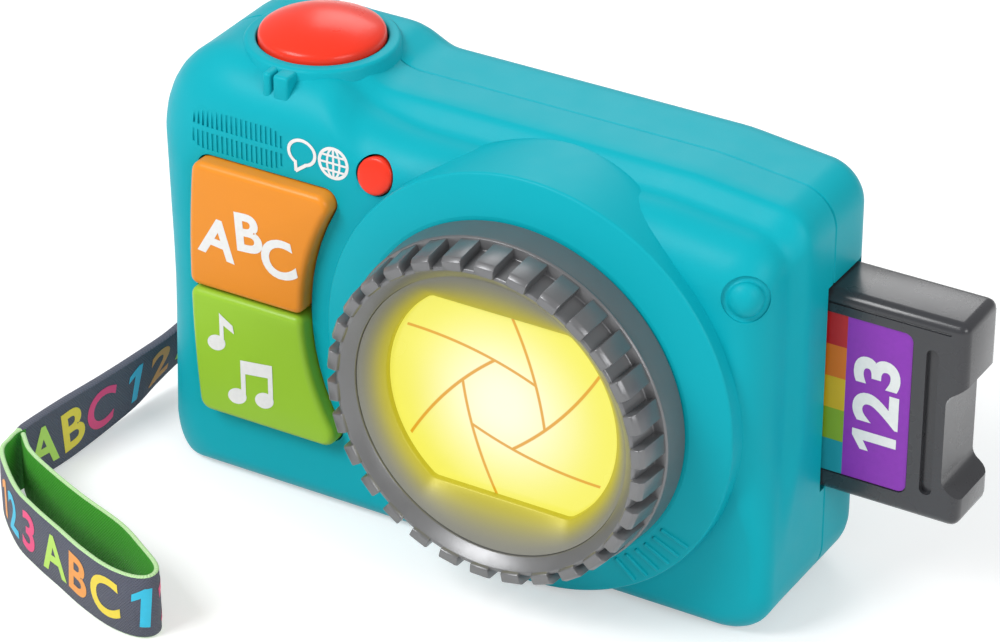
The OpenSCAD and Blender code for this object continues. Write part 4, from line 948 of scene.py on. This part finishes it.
def printed(sign, x, z, turn, depth):
    """A flat sign turned in its plane and set on a face at this depth."""
    return moved(spun(sign, turn, "Y"), (x, depth, z))


key_text = (("A", -57.2, 65.4, 7), ("B", -49.2, 69.0, -4), ("C", -41.2, 64.6, -12))
key_letters = []
for k, (text, x, z, turn) in enumerate(key_text):
    key_letters.append(printed(letter(text, 9.6, 0.4), x, z, turn, key_print_y - 0.02 * k))
fitted(linked("key_letters", joined(key_letters)), white_ink, "letters")


def note(x, z, size, head_high, heads, strokes):
    """A note: tilted oval heads, then strokes (lift, points) for its stems and its flag or beam."""
    plates = []
    for a, b in heads:
        head = bmesh.new()
        bmesh.ops.create_circle(head, cap_ends=True, segments=28, radius=1.0)
        bmesh.ops.scale(head, verts=head.verts, vec=(2.3 * size, head_high * size, 1))
        plates.append(moved(spun(spun(head, 25, "Z"), 90, "X"), (x + size * a, key_print_y, z + size * b)))
    for lift, points in strokes:
        plate = bmesh.new()
        corners = [(x + size * a, key_print_y - lift, z + size * b) for a, b in points]
        plate.faces.new([plate.verts.new(corner) for corner in corners])
        plates.append(plate)
    return plates


single = note(-58.6, 38.0, 1.1, 1.8, [(0, 0)], [
    (0.03, [(0.9, 0), (1.9, 0), (1.9, 6.6), (0.9, 7.4)]),
    (0.06, [(1.4, 7.0), (1.4, 4.9), (4.5, 3.3), (4.2, 5.2)])])
beamed = note(-53.4, 25.4, 1.15, 1.75, [(0, 0), (6.4, 0.9)], [
    (0.03, [(1.0, 0), (2.1, 0), (2.1, 7), (1.0, 7)]),
    (0.03, [(7.4, 0.9), (8.5, 0.9), (8.5, 7.9), (7.4, 7.9)]),
    (0.06, [(1.0, 5.6), (8.5, 6.5), (8.5, 9.5), (1.0, 8.6)])])
fitted(linked("key_notes", joined(single + beamed)), white_ink, "music")

# Small button: a red cap with a slightly crowned face in a round hole beside the hump. Behind its
# lip the hole runs straight back, so the tilted cap has room to slide in.
cap_profile = [(0.0, 0.35), (2.0, 0.35), (3.3, 0.3), (3.9, 0.2), (4.2, 0.0), (4.34, -0.35), (4.34, -4.5),
    (0.0, -4.5)]
cap = set_on_shell(turned(cap_profile, (0, 0, 0), (0, 0, 1), 48), small_button, small_button_up)
cap = linked("language_cap", cap, 50)
fitted(cap, red, "language")
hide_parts("language_button")


# Language signs: a speech bubble and a globe in white lines, pad-printed on the shell beside the small
# button.
def ribbon(pairs):
    """A flat strip between pairs of points in X and Z."""
    bm = bmesh.new()
    rows = [[bm.verts.new((p.x, 0, p.y)) for p in pair] for pair in pairs]
    for a, b in zip(rows, rows[1:]):
        bm.faces.new((a[0], a[1], b[1], b[0]))
    bmesh.ops.remove_doubles(bm, verts=bm.verts, dist=0.001)
    return bm


def hoop(x, z, wide, high, line, start=0.0, end=360.0):
    """A flat oval line, or part of one."""
    pairs = []
    for k in range(41):
        a = math.radians(mix(start, end, k / 40))
        pairs.append([Vector((x + (wide + half) * math.cos(a), z + (high + half) * math.sin(a)))
            for half in (-line / 2, line / 2)])
    return ribbon(pairs)


def bar(a, b, line):
    """A flat straight line, divided so that it can follow a curved face."""
    a = Vector(a)
    b = Vector(b)
    side = Vector((-(b - a).y, (b - a).x)).normalized() * line / 2
    middle = [a.lerp(b, k / 8) for k in range(9)]
    return ribbon([(p - side, p + side) for p in middle])


globe_x = -28.6
globe_z = 90.4
globe_r = 3.6
bubble_x = -36.7
thin = 0.55
thick = 0.8
signs = [hoop(globe_x, globe_z, globe_r, globe_r, 0.75), hoop(globe_x, globe_z, 1.6, globe_r, thin),
    bar((globe_x, globe_z - globe_r), (globe_x, globe_z + globe_r), thin)]
for half, rise in ((globe_r, 0), (2.9, 1.8), (2.9, -1.8)):
    signs.append(bar((globe_x - half, globe_z + rise), (globe_x + half, globe_z + rise), thin))
signs += [hoop(bubble_x, globe_z + 0.5, 3.4, 3.0, thick, -70, 235),
    bar((bubble_x - 1.75, globe_z - 1.7), (bubble_x - 1.6, globe_z - 4.4), thick),
    bar((bubble_x - 1.75, globe_z - 4.4), (bubble_x + 1.2, globe_z - 2.2), thick)]
for k, sign in enumerate(signs):
    for v in sign.verts:
        v.co.y = shell_face(v.co.x, v.co.z) - 0.06 - 0.012 * k
fitted(linked("language_signs", joined(signs)), white_ink, "body")

# Photo card: a thick dark grey frame that slides in and out of the right side. Its front has a recess for
# the label, a long groove and a fine line, and its outer end has a finger notch.
card = linked("photo_card", block((56.0, card_low.y, card_low.z), card_high, 2.4, 4), 30)


def label_outline(start, gap):
    """Outline of the label's recess, or of the film that lies in it with a gap round it."""
    low = 32.5 + gap
    high = 72.6 - gap
    end = 100.2 - gap
    corner = 2.2 - gap
    return rounded([(start, low, 0), (start, high, 0), (end, high, corner), (end, low, corner)], step=15)


groove_ends = [(103.3, 34.0), (103.3, 70.2), (106.2, 70.2), (106.2, 34.0)]
groove_outline = rounded([(x, z, 1.4) for x, z in groove_ends], step=15)
notch_x = card_high.x - 4.2
notch = slab([(card_high.x + 2, 34.3), (card_high.x, 34.3), (notch_x, 37.3), (notch_x, 59.3),
    (card_high.x, 62.3), (card_high.x + 2, 62.3)], 0, 20)
notch_corners = [e for e in notch.edges if abs(e.verts[0].co.y - e.verts[1].co.y) > 5
    and e.verts[0].co.x < card_high.x - 1]
softened(notch, notch_corners, 1.6, 4)
cut(card, [slab(label_outline(58, 0), 1, card_low.y + 0.7), slab(groove_outline, 1, card_low.y + 1.2), notch,
    block((58, 1, 74.7), (108.8, card_low.y + 0.5, 75.3), 0.25)], 30)
dark = moulded("card_plastic", (0.034, 0.035, 0.04), 0.28, 0.16, 0.06, 0.6)
fitted(card, dark, "card")
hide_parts("card_frame")

# Card label: a printed film in the recess, striped in five colours at its inner end, with a purple panel
# that carries the numbers.
film, look, wire, where = new_finish("printed_film", {})
across = coordinate(wire, where, "x")
up = coordinate(wire, where, "z")
rise = wire.add("MapRange", {}, {"Value": up, "From Min": 32.7, "From Max": 72.4})
# The five stripe colours are the print's colours, set darker and deeper partly as painted shade on the card's
# inner end.
stops = [(0.0, (0.01, 0.3, 0.37)), (0.2, (0.24, 0.4, 0.015)), (0.4, (0.68, 0.44, 0.01)),
    (0.6, (0.7, 0.17, 0.006)), (0.8, (0.5, 0.01, 0.013))]
stripes_with_painted_shade = wire.add("ValToRGB", {"interpolation": "CONSTANT", "stops": stops}, {0: rise})
mottle = wire.noise(where, 700.0, 2.0)
panel = wire.mix(mottle, (0.22, 0.018, 0.39), (0.27, 0.026, 0.45))
shade = wire.mix(wire.math("GREATER_THAN", across, 84.6), stripes_with_painted_shade, panel)
shade.into(look["Base Color"])
(mottle * 0.12 + 0.3).into(look["Roughness"])
label = fitted(linked("card_film", slab(label_outline(60, 0.2), 2.3, 2.75)), film, "card")
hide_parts("card_label")
numbers = []
for text, rise in (("1", 43.4), ("2", 51.6), ("3", 60.6)):
    sign = letter(text, 10.5, 0.5)
    bmesh.ops.scale(sign, verts=sign.verts, vec=(1.15, 1, 1))
    numbers.append(printed(sign, 92.0, rise, -90, 2.24))
fitted(linked("card_numbers", joined(numbers)), white_ink, "card")


# Battery door: a flat teal cover, flush in the back shell, with finger ridges at one end and one screw
# at the other. Its box behind is black, as are the speaker and the switches.
def finish(node, material):
    """Gives a carried-over CAD node this material."""
    mesh = bpy.data.objects[node].data
    mesh.materials.clear()
    mesh.materials.append(material)


finish("battery_door", teal)
black = moulded("black_plastic", (0.02, 0.021, 0.023), 0.5, 0.2, 0.08)
for node in ("battery_box", "speaker", "key_switches", "switch_body"):
    finish(node, black)

# Power slide: a moulded orange knob in a slot of the back shell, over the black slide switch that it
# moves.
finish("power_switch", orange)

# Card guide: two channels inside the body, joined by an end wall, that the card slides in. They are
# moulded without colour, because nobody sees them.
finish("card_guide", moulded("pale_plastic", (0.66, 0.66, 0.63), 0.45, 0.15, 0.04))


# Screws, spring, strap bar and contacts: made from drawn steel and plated, with fine marks of the drawing
# along them.
def steel(name, colour, roughness):
    """Bright steel with drawn marks in its colour and its gloss."""
    material, look, wire, where = new_finish(name, {"Metallic": 1.0})
    drawn = wire.add("VectorMath", {"operation": "MULTIPLY"}, {0: where, 1: (1.0, 1.0, 14.0)})
    marks = wire.noise(drawn, 900.0, 3.0)
    dark = tuple(c * 0.82 for c in colour)
    wire.mix(marks, dark, colour).into(look["Base Color"])
    (marks * 0.2 + roughness - 0.1).into(look["Roughness"])
    return material


plated = steel("plated_steel", (0.62, 0.62, 0.6), 0.32)
for node in ("bezel_screws", "board_screws", "door_screw", "shell_screws", "shutter_spring", "strap_bar",
    "battery_contacts"):
    finish(node, plated)

# Cells: two round cells in printed film sleeves, dark at one end and copper-coloured at the other, held
# between the contacts in their box.
sleeve, look, wire, where = new_finish("cell_sleeve", {"Metallic": 0.6})
across = coordinate(wire, where, "x", -37.0)
scuff = wire.noise(where, 500.0, 3.0)
body_colour = wire.mix(wire.math("GREATER_THAN", across, 9.0), (0.02, 0.02, 0.022), (0.5, 0.22, 0.07))
wire.mix(scuff * 0.15, body_colour, (0.4, 0.4, 0.4)).into(look["Base Color"])
(scuff * 0.15 + 0.25).into(look["Roughness"])
finish("battery_cells", sleeve)

# Boards: green glass-fibre boards with a fine weave under the varnish and tinned tracks. Both are held by
# screws.
board, look, wire, where = new_finish("circuit_board", {})
across = wire.math("SINE", coordinate(wire, where, "x") * 9.0)
up = wire.math("SINE", coordinate(wire, where, "z") * 9.0)
tracks = wire.add("TexVoronoi", {"feature": "DISTANCE_TO_EDGE"}, {"Vector": where, "Scale": 260.0})
track = wire.math("LESS_THAN", tracks, 0.07)
green_varnish = wire.mix(across * up * 0.5 + 0.5, (0.012, 0.09, 0.03), (0.02, 0.13, 0.045))
wire.mix(track * 0.6, green_varnish, (0.06, 0.24, 0.08)).into(look["Base Color"])
(track * -0.1 + 0.35).into(look["Roughness"])
wire.relief(track, 0.2).into(look["Normal"])
finish("main_board", board)
finish("light_board", board)

# Lights: round lamps of clear resin with a warm chip in the middle, soldered to the board behind the
# window.
resin, look, wire, where = new_finish("lamp_resin", {})
depth = coordinate(wire, where, "y")
clear = wire.add("MapRange", {}, {"Value": depth, "From Min": -26.0, "From Max": -21.5})
wire.mix(clear, (0.95, 0.93, 0.8), (0.8, 0.66, 0.2)).into(look["Base Color"])
(wire.noise(where, 900.0) * 0.1 + 0.12).into(look["Roughness"])
finish("lens_leds", resin)
